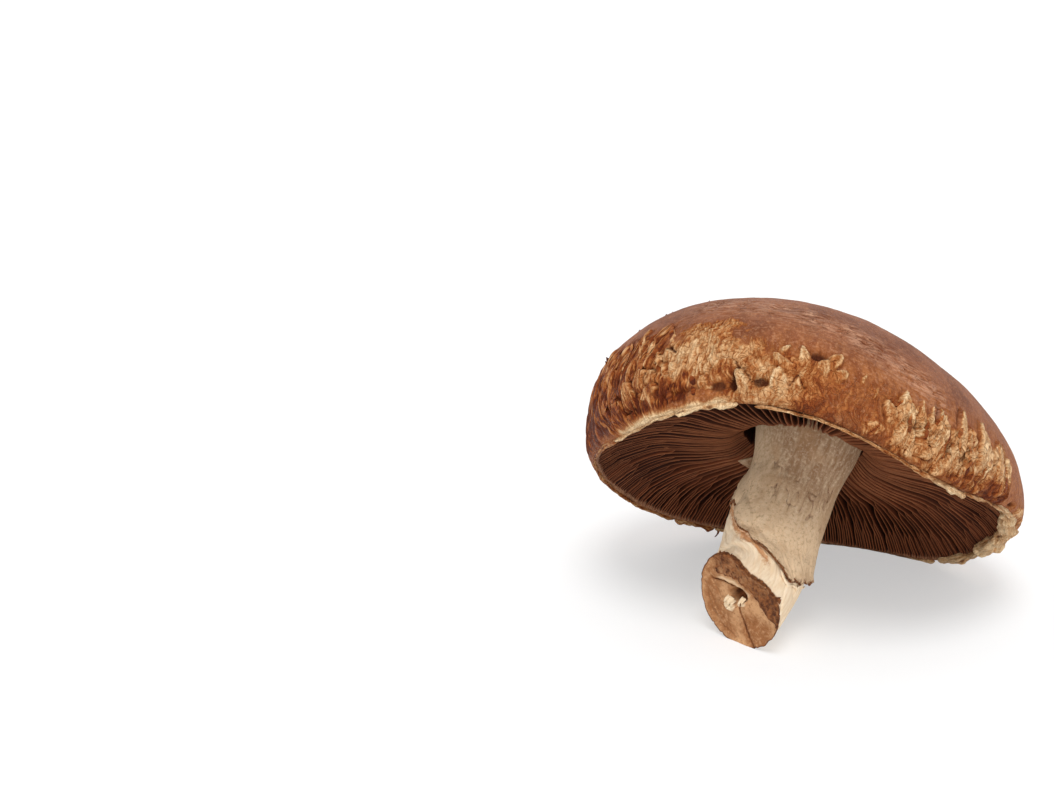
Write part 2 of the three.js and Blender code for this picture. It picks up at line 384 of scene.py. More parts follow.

# Outline, foot and tip as (direction, mm up the skin), half width, lift, paleness, darkness of the painted
# shadow along its edge.
FLAPS = [
    ("scale", (213.5, 3.8), (210.5, 11.8), 2.0, 1.5, 0.50, 1.0),
    ("scale", (216.8, 7.0), (217.0, 13.4), 2.5, 1.5, 0.52, 1.0),
    ("scale", (219.5, 3.2), (222.0, 9.0), 2.2, 1.5, 0.46, 1.0),
    ("scale", (221.5, 8.0), (220.0, 12.6), 1.5, 0.9, 0.46, 0.7),
    ("scale", (208.0, 2.5), (204.5, 9.2), 2.6, 1.1, 0.30, 0.8),
    ("scale", (226.0, 5.5), (225.5, 9.8), 1.7, 0.8, 0.40, 0.5),
    ("petal", (225.5, 8.6), (224.6, 13.2), 0.6, 0.9, 0.72, 0.6),
    ("petal", (227.6, 8.4), (227.2, 12.6), 0.7, 0.8, 0.66, 0.6),
    ("petal", (222.8, 12.5), (222.0, 17.0), 0.6, 0.7, 0.56, 0.4),
    ("petal", (217.5, 15.0), (218.6, 21.0), 0.7, 0.7, 0.58, 0.4),
    ("petal", (213.0, 15.5), (214.6, 22.5), 0.7, 0.7, 0.56, 0.4),
    ("petal", (208.5, 22.6), (213.5, 26.2), 0.9, 0.8, 0.46, 0.9),
    ("spike", (225.8, 13.4), (225.2, 17.0), 2.2, 1.3, 0.80, 1.0),
    ("scale", (242.0, 5.6), (242.0, 11.0), 2.9, 0.9, 0.52, 0.7),
    ("scale", (237.3, 3.4), (237.0, 7.6), 1.1, 0.7, 0.66, 0.5),
    ("petal", (248.6, 1.4), (245.6, 8.4), 1.4, 1.0, 0.80, 0.8),
    ("petal", (249.4, 6.6), (247.8, 12.0), 0.9, 0.6, 0.62, 0.4),
    ("petal", (255.9, 1.0), (254.8, 9.4), 1.9, 0.7, 0.80, 0.4),
    ("spike", (259.9, 2.8), (259.2, 7.8), 2.4, 0.7, 0.54, 0.7),
    ("petal", (258.9, 8.6), (252.9, 13.2), 1.1, 0.4, 0.68, 0.4),
    ("petal", (254.0, 13.4), (256.8, 15.8), 0.6, 0.5, 0.76, 0.3),
    ("petal", (261.0, 10.4), (259.3, 16.4), 1.2, 0.8, 0.80, 0.45),
    ("petal", (262.6, 9.2), (268.8, 16.6), 1.7, 1.1, 0.60, 0.4),
    ("petal", (266.0, 8.6), (270.5, 13.0), 1.4, 0.5, 0.58, 0.2),
    ("petal", (274.5, 0.8), (281.5, 4.4), 1.6, 0.4, 0.50, 0.1),
    ("petal", (273.8, 9.5), (275.2, 15.0), 0.5, 0.4, 0.66, 0.1),
    ("petal", (277.4, 8.0), (278.4, 13.0), 0.5, 0.4, 0.62, 0.1),
    ("spike", (287.2, 7.2), (286.0, 15.8), 3.3, 1.1, 0.84, 0.6),
    ("petal", (285.4, 4.2), (280.8, 10.6), 1.6, 0.9, 0.66, 0.6),
    ("scale", (288.6, 1.2), (287.2, 7.8), 2.7, 0.9, 0.72, 0.4),
    ("spike", (291.8, 9.0), (291.2, 16.0), 1.2, 0.9, 0.70, 0.5),
    ("spike", (295.0, 8.0), (294.2, 16.4), 1.3, 0.9, 0.66, 0.5),
    ("petal", (293.6, 2.6), (292.0, 8.8), 1.6, 0.8, 0.58, 0.5),
    ("spike", (299.2, 7.6), (297.4, 16.4), 2.6, 1.0, 0.78, 0.6),
    ("petal", (298.8, 2.8), (297.6, 9.2), 1.5, 0.8, 0.64, 0.5),
    ("spike", (306.4, 7.8), (306.2, 19.0), 3.2, 1.1, 0.80, 0.6),
    ("spike", (310.0, 8.2), (309.0, 15.4), 1.3, 0.9, 0.66, 0.6),
    ("spike", (304.4, 1.2), (303.2, 9.0), 3.0, 1.2, 0.72, 0.8),
    ("petal", (311.0, 3.2), (309.2, 9.6), 1.2, 0.8, 0.56, 0.6),
    ("spike", (318.8, 4.6), (315.2, 18.4), 4.5, 1.2, 0.92, 0.7),
    ("spike", (327.4, 4.2), (325.0, 15.0), 2.7, 1.1, 0.80, 0.6),
    ("petal", (331.8, 6.4), (331.2, 12.2), 1.0, 0.8, 0.88, 0.7),
]

# Centre as (direction, mm up the skin), half sizes round and up, depth, darkness, which is painted shade
# with the darker skin there.
HOLLOWS = [
    ((240.7, 4.3), (1.7, 1.2), 1.1, 0.75),
    ((251.0, 5.6), (2.3, 1.4), 1.4, 0.85),
    ((263.8, 14.9), (2.9, 1.0), 1.3, 0.85),
    ((244.7, 4.6), (0.9, 2.4), 1.8, 1.0),
    ((299.0, 13.0), (0.4, 0.9), 0.9, 1.0),
    ((308.5, 15.2), (0.5, 0.6), 1.0, 1.0),
    ((301.5, 9.0), (0.5, 2.0), 0.8, 0.7),
    ((290.2, 8.6), (0.4, 1.6), 0.8, 0.7),
    ((329.2, 10.2), (0.5, 2.0), 1.4, 1.0),
    ((339.0, 1.6), (2.0, 1.0), 1.6, 0.9),
    ((212.0, 4.2), (1.6, 0.5), 1.0, 0.9),
    ((232.0, 4.5), (5.0, 0.7), 0.9, 0.55),
    ((188.0, 12.0), (0.7, 0.9), 1.0, 0.9),
    ((234.0, 21.8), (0.6, 0.5), 0.7, 0.9),
    ((240.7, 21.7), (1.0, 0.7), 0.4, 0.45),
    ((244.6, 21.6), (0.8, 0.7), 0.4, 0.45),
    ((317.5, 3.6), (3.2, 1.0), 0.7, 0.45),
]


def in_flap(phi, up, outline, foot, tip, half):
    """How far inside a flap each place is, in mm, and its share of the way from the foot to the tip."""
    across = degrees_from(phi, foot[0]) * MM_PER_DEGREE
    above = up - foot[1]
    reach = ((tip[0] - foot[0]) * MM_PER_DEGREE, tip[1] - foot[1])
    length = math.hypot(*reach)
    share = (across * reach[0] + above * reach[1]) / length**2
    aside = np.abs(across * reach[1] - above * reach[0]) / length
    width = half * OUTLINES[outline](np.clip(share, 0, 1))
    beyond = np.maximum(share - 1, -share) * length
    return np.where(beyond > 0, -np.hypot(aside, beyond), width - aside), share


# %% [markdown]
# ## The relief of the cap
#
# The height of the skin and the marks that colour it are built up in steps, from patch to patch.
# torn says how broken the skin is, pale how much of the light flesh shows, with painted highlights on
# ridges and flap edges, dark how deep in a gap the place is, which is painted as shade, strands how
# stringy the torn skin is, and dusty where the crest is dusted and painted paler as its
# highlight. At the end, warm says how orange the whole skin is low on the cap.

# %% The torn zones
def tear_left(skin):
    """Long ridges on the shoulder. Lower down they are finer and slanting, and browner to the left."""
    ridge, crease = skin.wrinkles(1.7, 9.0, 11)
    here = skin.zone((172, 228), (6, 25), 12, soft=6, ragged=3)
    skin.tear(here, ridge, crease * (0.35 + 0.5 * skin.patchy), 1.6, 0.12, 0.50, 0.8)
    ridge, crease = skin.wrinkles(1.2, 8.0, 51)
    here = skin.zone((186, 236), (2.0, 12), 42, soft=4)
    skin.tear(here, ridge, crease * (0.25 + 0.45 * skin.patchy), 1.1, 0.02, 0.30, 0.8)
    here = skin.zone((160, 198), (0.5, 20), 43, soft=8)
    skin.tear(here, ridge, 0.2 + 0.5 * crease, 0.9, 0.0, 0.26, 0.8)


def tear_pale_patch(skin):
    """The fibrous pale patch, with crumpled skin along its upper border."""
    ridge, crease = skin.wrinkles(1.0, 2.4, 62)
    here = skin.blob((236, 14), (10.5, 7.5), 0.7, 61, 0.45)
    mottle = 0.2 * skin.mottle
    skin.tear(here, ridge, 0.5 * crease * skin.patchy, 0.7, 0.46 + mottle, 0.74 + mottle, 0.3)
    ridge, crease = skin.wrinkles(3.0, 1.0, 64)
    here = skin.blob((235.5, 21.2), (8.5, 2.5), 0.6, 63, 0.6)
    skin.tear(here, ridge, 0.6 * crease * skin.patchy, 0.9, 0.34, 0.58, 0.3)


def tear_middle(skin):
    """The mottled stretch, with fine streaks up the skin."""
    ridge, crease = skin.wrinkles(1.1, 3.0, 86)
    fleshy = ease(272, 256, skin.degrees)
    here = skin.zone((239, 290), (-3, 14.0), 81, soft=6, ragged=4) * lerp(0.5, 0.9, fleshy)
    low = 0.34 + 0.13 * fleshy + 0.22 * skin.mottle
    low = low - 0.22 * ease(4.5, 1.5, skin.up) * ease(255, 261, skin.degrees)
    skin.tear(here, ridge, 0.3 * crease * skin.patchy, 0.5, low, low + 0.16, 0.08 + 0.14 * fleshy)


def tear_right(skin):
    """Wrinkled pale skin, browner low down."""
    ridge, crease = skin.wrinkles(1.6, 4.0, 95)
    here = skin.zone((281, 334), (0.3, 13.5), 92, soft=3, ragged=3)
    brown = ease(6.0, 3.0, skin.up + 6 * (skin.patchy - 0.5)) * ease(296, 306, skin.degrees)
    low, high = 0.34 + 0.2 * skin.mottle - 0.22 * brown, 0.68 + 0.25 * skin.mottle - 0.36 * brown
    skin.tear(here, ridge, crease * (0.3 + 0.6 * skin.patchy), 1.3, low, high, 0.2)


def tear_back(skin):
    """Broken strips of the same kind, thinning out upwards."""
    back = ease(0, 12, 84 - np.abs(degrees_from(skin.phi, 86)))
    wild = skin.noise(15, 60, 101)
    here = back * ease(0.0, 0.4, 0.8 * wild + (14 - skin.up) / 16) * ease(0.3, 1.5, skin.up)
    ridge, crease = skin.wrinkles(2.2, 7.5, 102)
    skin.tear(here, ridge, 0.6 * crease * skin.patchy, 1.2, 0.26, 0.62 + 0.25 * skin.mottle, 0.8)


# %% Flaps, rim, crest and hollows
def lay_flaps(skin):
    """Single flaps. The frayed edge is the same noise for all of them."""
    frayed = 0.48 * skin.noise(1.2, 1.8, 301)
    ridge, crease = skin.wrinkles(1.1, 5.0, 305)
    for outline, foot, tip, half, lift, paleness, edge in FLAPS:
        rough = frayed * (0.8 if outline == "petal" else 1)
        inside, share = in_flap(skin.phi + rough / RIM_RADIUS, skin.up + rough, outline, foot, tip, half)
        cover = ease(-0.15, 0.25, inside) * ease(0.0, 0.4, share)
        # Painted highlights: paler ridges, and a paler band just inside the raised edge near the tip.
        lip_highlight = 0.24 * bell(inside - 0.4, 0.4) * ease(0.3, 0.8, share)
        wrinkled = 0.5 if half < 2 else 0.28
        raised = 0.95 * lift * (0.35 + 0.65 * share) + wrinkled * (ridge - 0.5)
        # A groove along the edge, painted dark as the shadow that the raised edge casts.
        line = edge * bell(inside + 0.45, 0.42) * ease(0.2, 0.6, share) * (0.7 + 0.7 * skin.patchy)
        skin.height = lerp(skin.height, raised, cover) - 0.9 * line
        skin.pale = lerp(skin.pale, 0.79 * paleness + 0.18 * (ridge - 0.6) + lip_highlight, cover)
        skin.dark = np.maximum(skin.dark * (1 - cover) + 0.4 * crease * cover, line)
        skin.torn = np.maximum(skin.torn, cover)
        skin.strands = lerp(skin.strands, 0.75 - 0.7 * paleness, cover)


def tear_rim(skin):
    """The pale band along the rim at the left, and lumpy skin at the right end."""
    band = skin.zone((203, 245.5), (-5, 1.9), 111, soft=2.8, ragged=1.3)
    lumps = skin.noise(3, 3, 112)
    shade = lerp(0.52, 0.98, ease(3.0, 0.5, skin.up)) + 0.1 * skin.mottle
    skin.tear(band, 0.5 + 0.5 * lumps, 0, 0.7, shade, shade, 0.12)
    ridge, crease = skin.wrinkles(2.6, 2.0, 122)
    skin.tear(skin.zone((341, 396), (-5, 3.0), 121, soft=2.5), ridge, 0.5 * crease, 0.8, 0.36, 0.66, 0.5)


# The line of the crest: directions, and mm up the skin.
CREST_LINE = [225, 260, 298], [34, 31, 19]


def crumple_crest(skin):
    """Fine crumples and thin cracks on the crest, which drop towards the right."""
    ridge, crease = skin.wrinkles(5.0, 0.9, 131)
    from_crest = skin.up - np.interp(skin.degrees, *CREST_LINE)
    here = ease(215, 232, skin.degrees) * ease(306, 296, skin.degrees) * bell(from_crest, 6.5)
    fissure = here * crease * ease(0.15, 0.5, skin.patchy)
    skin.height = skin.height + 0.5 * here * (ridge - 0.5) - 0.3 * fissure
    skin.dark = np.maximum(skin.dark, 0.55 * fissure)
    # Pale dust on the crest, laid on so that it also paints the crest's highlight.
    skin.dusty = here * (0.45 + 0.55 * skin.patchy)


def sink_hollows(skin):
    """Single hollows, painted dark inside: shade, and the darker skin there."""
    for centre, half, depth, darkness in HOLLOWS:
        hollow = skin.blob(centre, half, 0.6, int(centre[0]), 0.5)
        skin.height = skin.height - depth * hollow
        skin.dark = np.maximum(skin.dark, darkness * hollow)


# %% The relief of the cap
STEPS_OF_RELIEF = [
    tear_left, tear_pale_patch, tear_middle, tear_right, tear_back, lay_flaps, tear_rim, crumple_crest,
    sink_hollows,
]


def relief(phi, up):
    """Height over the bare skin in mm and the marks that colour it, for places on the cap."""
    skin = Skin(phi, up)
    for step in STEPS_OF_RELIEF:
        step(skin)
    base = (0.30 * skin.noise(16, 14, 3) + 0.06 * skin.noise(2, 2, 4)) * (1 - ease(60, 74, up))
    warm = 1 - ease(12, 27, up + 5 * skin.noise(12, 9, 6))
    return {
        "height": skin.height + base, "torn": skin.torn, "pale": np.clip(skin.pale, 0, 1.1),
        "dark": np.clip(skin.dark, 0, 1), "warm": warm, "strands": skin.strands, "dusty": skin.dusty,
    }


def on_skin(phi, up, out):
    """A point `out` mm off the torn skin."""
    return on_map(phi, up) + (relief(phi, up)["height"] + out)[..., None] * skin_axes(phi, up)[2]


# %% [markdown]
# ## Making meshes
#
# Every piece here is a sheet of points in rows and columns, closed round or along. One helper turns
# such sheets into a Blender mesh, stores the marks on its points for the material to read, and says
# which CAD solid it stands for.

# %% Sheets
def grid_faces(rows, columns, closed_columns=True, closed_rows=False, first=0):
    """The four corners of every face of a sheet of rows and columns of points."""
    row = np.arange(rows if closed_rows else rows - 1)
    column = np.arange(columns if closed_columns else columns - 1)
    row, column = (part.ravel() for part in np.meshgrid(row, column, indexing="ij"))
    below = (row + 1) % rows
    beside = (column + 1) % columns
    corners = [(row, column), (row, beside), (below, beside), (below, column)]
    return first + np.stack([r * columns + c for r, c in corners], -1)


def fan(ring):
    """Triangles that close a ring of points."""
    return triples(ring[0], ring[1:-1], ring[2:])


def closed_sheet(sheet, lift=0.0):
    """Points, faces and end triangles of a round sheet, closed with a point in each end's middle."""
    rows, columns = sheet.shape[:2]
    middles = [sheet[0].mean(0) + np.array([0, 0, lift]), sheet[-1].mean(0)]
    points = np.vstack([sheet.reshape(-1, 3), *middles])
    ring = np.arange(columns)
    beside = (ring + 1) % columns
    last = (rows - 1) * columns
    first_end = triples(ring, beside, len(points) - 2)
    last_end = triples(last + beside, last + ring, len(points) - 1)
    return points, grid_faces(rows, columns)[:, ::-1], np.vstack([first_end, last_end])


# %% Making a piece
def make_piece(name, points, faces, marks, material, replaces=(), triangles=()):
    """A smooth mesh object from growth-frame points, four-sided faces and marks on its points."""
    mesh = bpy.data.meshes.new(name)
    loops = faces.reshape(-1)
    starts = np.arange(len(faces)) * 4
    if len(triangles):
        loops = np.concatenate([loops, triangles.reshape(-1)])
        starts = np.concatenate([starts, len(faces) * 4 + np.arange(len(triangles)) * 3])
    mesh.vertices.add(len(points))
    mesh.vertices.foreach_set("co", lying(points).astype(np.float32).ravel())
    mesh.loops.add(len(loops))
    mesh.loops.foreach_set("vertex_index", loops.astype(np.int32))
    mesh.polygons.add(len(starts))
    mesh.polygons.foreach_set("loop_start", starts.astype(np.int32))
    mesh.update(calc_edges=True)
    mesh.polygons.foreach_set("use_smooth", np.ones(len(starts), bool))
    for mark, values in marks.items():
        values = np.asarray(values, np.float32)
        kind, field = ("FLOAT_VECTOR", "vector") if values.ndim == 2 else ("FLOAT", "value")
        mesh.attributes.new(mark, kind, "POINT").data.foreach_set(field, values.ravel())
    mesh.validate()
    piece = bpy.data.objects.new(name, mesh)
    bpy.context.scene.collection.objects.link(piece)
    mesh.materials.append(material)
    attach(piece, "root")
    if replaces:
        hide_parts(*replaces)
    print(f"{name}: {len(points)} points, {2 * len(faces) + len(triangles)} triangles")


# The least height over the table in mm. The gills keep further off it, behind the rim.
ABOVE_TABLE = 0.02
GILLS_ABOVE_TABLE = 0.3


def on_the_table(points, clear=ABOVE_TABLE):
    """Moves points that would sink into the table straight up onto it."""
    height = points @ LEAN.T[:, 2] + ORIGIN[2]
    sunk = np.maximum(clear - height, 0)
    return points + sunk[..., None] * LEAN[2]


# %% [markdown]
# ## Loose shreds
#
# Flaps, rolls and torn edges are all closed tubes with a flattened section: a line of centres, two
# directions across it and two half sizes. One helper lays out the points of such a tube, and another
# joins many of them into one piece.

# %% Tubes
def tube(centres, side, out, half_side, half_out, around=10):
    """The points of a flattened tube, in rows of `around` points, one row for each centre."""
    turn = np.arange(around) / around * TAU
    across = (half_side[:, None] * np.cos(turn))[..., None] * side[:, None]
    over = (half_out[:, None] * np.sin(turn))[..., None] * out[:, None]
    return centres[:, None] + across + over


def join_tubes(name, tubes, material):
    """One piece from many tubes. Each comes with its marks: one number, or one for each of its points."""
    points, faces, ends, stored = [], [], [], {}
    total = 0
    for grid, marks in tubes:
        rows, around = grid.shape[:2]
        quads = grid_faces(rows, around)
        ring = np.arange(around)
        fans = np.vstack([fan(ring)[:, ::-1], fan(ring + (rows - 1) * around)])
        flat = grid.reshape(-1, 3)
        a, b, c, d = (flat[quads[:, i]] - flat.mean(0) for i in range(4))
        inside_out = (np.cross(a - c, b - d) * (a + b + c + d)).sum() < 0
        if inside_out:
            quads, fans = quads[:, ::-1], fans[:, ::-1]
        points.append(flat)
        faces.append(quads + total)
        ends.append(fans + total)
        for mark, value in marks.items():
            if np.ndim(value) < 3:
                value = np.broadcast_to(value, (rows, around))[..., None]
            stored.setdefault(mark, []).append(value.reshape(len(flat), -1).squeeze())
        total += len(flat)
    stored = {mark: np.concatenate(parts) for mark, parts in stored.items()}
    points = on_the_table(np.vstack(points))
    make_piece(name, points, np.vstack(faces), stored, material, (), np.vstack(ends))


# %% [markdown]
# ## Materials from nodes
#
# Each finish is a small node tree. These helpers keep the trees short: one adds a node and wires or
# sets its inputs, and the others name the few kinds of node that are used again and again. What a node
# gives is kept as a wire. Sums with wires are written as with numbers, and become nodes as well.
# Colours are written as on a paint card, from 0 to 255, and turned into the linear values that
# Blender's shaders use.

# %% Node helpers
def paint(red, green, blue):
    """A linear colour from its display values, 0 to 255."""
    shown = np.array([red, green, blue]) / 255
    linear = np.where(shown <= 0.04045, shown / 12.92, ((shown + 0.055) / 1.055) ** 2.4)
    return (*linear.tolist(), 1.0)


class Wire:
    """The output of a node in a tree."""

    def __init__(self, tree, socket):
        self.tree = tree
        self.socket = socket

    def __add__(self, other):
        return sums(self.tree, "ADD", self, other)

    def __sub__(self, other):
        return sums(self.tree, "SUBTRACT", self, other)

    def __rsub__(self, other):
        return sums(self.tree, "SUBTRACT", other, self)

    def __mul__(self, other):
        return sums(self.tree, "MULTIPLY", self, other)

    def __abs__(self):
        return sums(self.tree, "ABSOLUTE", self)


def feed(tree, socket, value):
    """Sets an input, or wires another node's output to it."""
    if isinstance(value, Wire):
        tree.links.new(value.socket, socket)
    else:
        socket.default_value = value


def add(tree, kind, output=0, settings=None, **inputs):
    """Adds a node. Inputs are named as in Blender, with _ for a space, or i0, i1 for their place."""
    node = tree.nodes.new("ShaderNode" + kind)
    for name, value in (settings or {}).items():
        setattr(node, name, value)
    for name, value in inputs.items():
        key = int(name[1:]) if name[0] == "i" and name[1:].isdigit() else name.replace("_", " ")
        feed(tree, node.inputs[key], value)
    return Wire(tree, node.outputs[output])


def sums(tree, operation, *values):
    """Adds a Math node."""
    inputs = {f"i{place}": value for place, value in enumerate(values)}
    return add(tree, "Math", settings={"operation": operation}, **inputs)


# %% The nodes used most
def largest(first, *others):
    """The largest of some wires."""
    for other in others:
        first = sums(first.tree, "MAXIMUM", first, other)
    return first


def swing(noise, width):
    """Noise from 0 to 1, turned into a swing round 0 that is so wide."""
    return sums(noise.tree, "MULTIPLY_ADD", noise, width, -width / 2)


def mix(share, first, second):
    """A share of the second colour over the first. Each is a wire, or red, green and blue."""
    first, second = (paint(*colour) if isinstance(colour, tuple) else colour for colour in (first, second))
    return add(share.tree, "Mix", output=2, settings={"data_type": "RGBA"}, i0=share, i6=first, i7=second)


def between(value, low, high, to_low=0.0, to_high=1.0):
    """Goes smoothly from `to_low` to `to_high` as the value goes from low to high."""
    settings = {"interpolation_type": "SMOOTHSTEP"}
    return add(value.tree, "MapRange", settings=settings, i0=value, i1=low, i2=high, i3=to_low, i4=to_high)


def mark(tree, name, output="Fac"):
    """A mark stored on the mesh."""
    return add(tree, "Attribute", output=output, settings={"attribute_name": name})


def scaled(vector, *by):
    """Places stretched by a number along each axis."""
    return add(vector.tree, "VectorMath", settings={"operation": "MULTIPLY"}, i0=vector, i1=by)


def grain(vector, scale, detail, roughness, warp=0.0):
    """Fine noise, from 0 to 1 round 0.5."""
    inputs = {"Vector": vector, "Detail": detail, "Roughness": roughness, "Distortion": warp}
    return add(vector.tree, "TexNoise", i2=scale, **inputs)


# %% Shades and surfaces
def shade_card(value, shades):
    """A colour read from a row of shades, each at its own value."""
    colour = add(value.tree, "ValToRGB", i0=value)
    stops = colour.socket.node.color_ramp.elements
    for i, (place, shade) in enumerate(shades):
        stop = stops[i] if i < 2 else stops.new(place)
        stop.position = place
        stop.color = paint(*shade)
    return colour


def new_material(name):
    """A material with only a plain surface, and its node tree."""
    material = bpy.data.materials.new(name)
    material.use_nodes = True
    tree = material.node_tree
    tree.nodes.clear()
    surface = tree.nodes.new("ShaderNodeBsdfPrincipled")
    output = tree.nodes.new("ShaderNodeOutputMaterial")
    tree.links.new(surface.outputs[0], output.inputs[0])
    return material, tree, surface


def finish_surface(surface, colour, roughness, bump, depth, gloss):
    """Wires a colour, a roughness and a bump of so many mm into the surface."""
    surface.inputs["Specular IOR Level"].default_value = gloss
    normal = add(colour.tree, "Bump", Strength=1.0, Distance=depth * MM, Height=bump)
    for name, value in (("Base Color", colour), ("Roughness", roughness), ("Normal", normal)):
        feed(colour.tree, surface.inputs[name], value)


# %% [markdown]
# ## The skin of the cap
#
# The crown is a dusty pinkish brown with a fine grain. Lower down the skin is thinner and warmer, and
# where it has torn the pale flesh shows through as fibres. One material does all of it: the marks
# stored on the mesh say where each finish is, and fine noise frays their edges. Light and shade are
# painted in as well: ridges, flap edges and the crest paler, and creases, gaps, hollows, flap outlines
# and the lining up between the gills darker.

# %% The cap's material
FLESH_SHADES = [
    (0.0, (88, 34, 9)), (0.20, (130, 62, 22)), (0.38, (164, 98, 48)), (0.55, (192, 137, 88)),
    (0.75, (215, 171, 124)), (1.0, (238, 206, 162)),
]
# Painted shade for crevices and gaps, also the colour of the dark dry bits.
DARK_AND_CREVICE_SHADE = (66, 26, 10)


def cap_material():
    material, tree, surface = new_material("weathered_cap")
    place = mark(tree, "skin_place", "Vector")
    along = scaled(mark(tree, "strand_place", "Vector"), 1, 1, 0.2)
    names = ("torn", "pale", "dark", "warm", "strands", "dusty", "inside")
    torn, pale, dark, warm, strands, dusty, inside = (mark(tree, name) for name in names)
    fibre = grain(along, 0.75, 5, 0.7, 0.3)
    fine_fibre = grain(along, 1.9, 4, 0.7)
    speck = grain(place, 1.2, 5, 0.75)
    cloud = grain(place, 0.08, 4, 0.6)
    around = grain(scaled(place, 0.22, 0.22, 1.2), 1.2, 4, 0.65, 0.4)

    # Strands: thin dark creases where the noise crosses its middle, and round crests between them.
    from_crease = abs(grain(along, 0.80, 1.5, 0.5, 0.5) - 0.5)
    crest = between(from_crease, 0.01, 0.16)
    crease = between(from_crease, 0.012, 0.06, 1, 0)

    # Thin splits that run round the crest, where it is dusted and painted paler.
    from_split = abs(grain(scaled(place, 0.35, 0.35, 1.5), 0.8, 2, 0.5, 0.8) - 0.5)
    crest_split = between(from_split, 0.006, 0.05, 1, 0)

    # Crumples: the same in every direction, where the skin is torn but not stringy.
    from_fold = abs(grain(place, 0.75, 2.0, 0.5, 0.8) - 0.5)
    fold_crest = between(from_fold, 0.0, 0.10)
    fold_line = between(from_fold, 0.004, 0.035, 1, 0)
    not_stringy = torn * (1.0 - strands)

    # Whole skin: brown at the crown and orange lower down, with pale and dark specks, and pale dust that
    # also paints the crest's highlight.
    crown = mix(between(cloud, 0.36, 0.62), (112, 60, 34), (144, 88, 58))
    crown = mix(between(around, 0.42, 0.30, 0, 0.4), crown, (116, 66, 44))
    orange = mix(between(fibre, 0.34, 0.68), (126, 64, 26), (168, 104, 56))
    skin = mix(warm, crown, orange)
    skin = mix(between(speck, 0.50, 0.62, 0, 0.34), skin, (202, 150, 114))
    skin = mix(between(speck, 0.50, 0.36, 0, 0.4), skin, (100, 52, 30))
    skin = mix(dusty * between(around, 0.38, 0.68), skin, (202, 154, 124))

    # Flesh, where the skin is torn, with painted light on the crests and painted shade between them.
    crest_light_and_shade = strands * (crest * 0.42 - 0.24) + not_stringy * (fold_crest * 0.20 - 0.12)
    flesh = shade_card(pale + swing(fibre, 0.9) + swing(fine_fibre, 0.8) + crest_light_and_shade, FLESH_SHADES)
    colour = mix(between(torn + swing(fine_fibre, 1.6), 0.25, 0.75), skin, flesh)

    # Painted shade in gaps, creases, folds and splits; the same colour darkens the dry bits.
    gap = between(dark + swing(speck, 0.8), 0.30, 0.90, 0, 0.92)
    line = strands * (crease * between(fibre, 0.44, 0.54, 0.1, 1)) * between(speck, 0.36, 0.56, 0.3, 1)
    fold = not_stringy * fold_line * between(speck, 0.42, 0.60, 0, 0.5)
    split = dusty * crest_split * between(speck, 0.44, 0.54) * 0.9
    colour = mix(largest(gap, line, fold, split), colour, DARK_AND_CREVICE_SHADE)

    # The lining inside the rim, painted darker further in as the shade up between the gills.
    lining = mix(between(speck, 0.4, 0.6), (120, 80, 56), (166, 122, 92))
    lining = mix(between(inside, 0.22, 0.42), lining, (46, 20, 11))
    colour = mix(between(inside, 0.05, 0.2), colour, lining)
    bump = fine_fibre * 0.5 + speck * 0.4 + around * 0.2
    bump = bump + strands * crest * 0.7 + not_stringy * fold_crest * 0.5
    finish_surface(surface, colour, between(speck, 0.3, 0.7, 0.46, 0.66), bump, 0.7, 0.12)
    return material


weathered_cap = cap_material()

# %% [markdown]
# ## The cap
#
# The cap is one closed mesh: the torn skin outside, then round the rim, up the inner wall and over the
# flesh that the gills hang from. Its points are close together where the skin is torn, and further
# apart on the smooth crown and at the back, so that small ridges and creases are real shapes.

# %% The outline of the cap
FRONT_COLUMNS = 520
BACK_COLUMNS = 150
TORN_ROWS = 92
CROWN_ROWS = 30
TORN_HEIGHT = 30.0
CEILING_HEIGHT = 22.3
GILL_ROOT_RADIUS = 17.0
CEILING_ARCH = 1.2
CEILING_ROWS = 9
TORN_SIDE = (168, 364)
# The wall inside the rim, as mm inward of the rim and mm above it.
INNER_LIP = [(0.6, -0.25), (1.2, 0.3), (1.7, 1.6), (2.6, 3.4), (4.0, 4.8)]
WALL_TOP = (6.5, 5.5)
LIP_SHADES = [0.12, 0.25, 0.4, 0.6]


def flesh_height(phi, along):
    """How high the flesh over the gills is: along runs from 0 at the rim's wall to 1 at the stem."""
    level = lerp(rim_height(phi) + WALL_TOP[1], CEILING_HEIGHT, along)
    return level + CEILING_ARCH * np.sin(math.pi * along)


def ceiling(phi, along):
    """A point of the flesh over the gills."""
    radius = lerp(rim_radius(phi) - WALL_TOP[0], GILL_ROOT_RADIUS, along)
    return around_axis(radius, phi, flesh_height(phi, along))


def cap_columns():
    """Directions round the cap, close together on the torn front half."""
    start, stop = TORN_SIDE
    back = np.linspace(stop - 360, start, BACK_COLUMNS, endpoint=False)
    front = np.linspace(start, stop, FRONT_COLUMNS, endpoint=False)
    return np.radians(np.concatenate([back, front]))


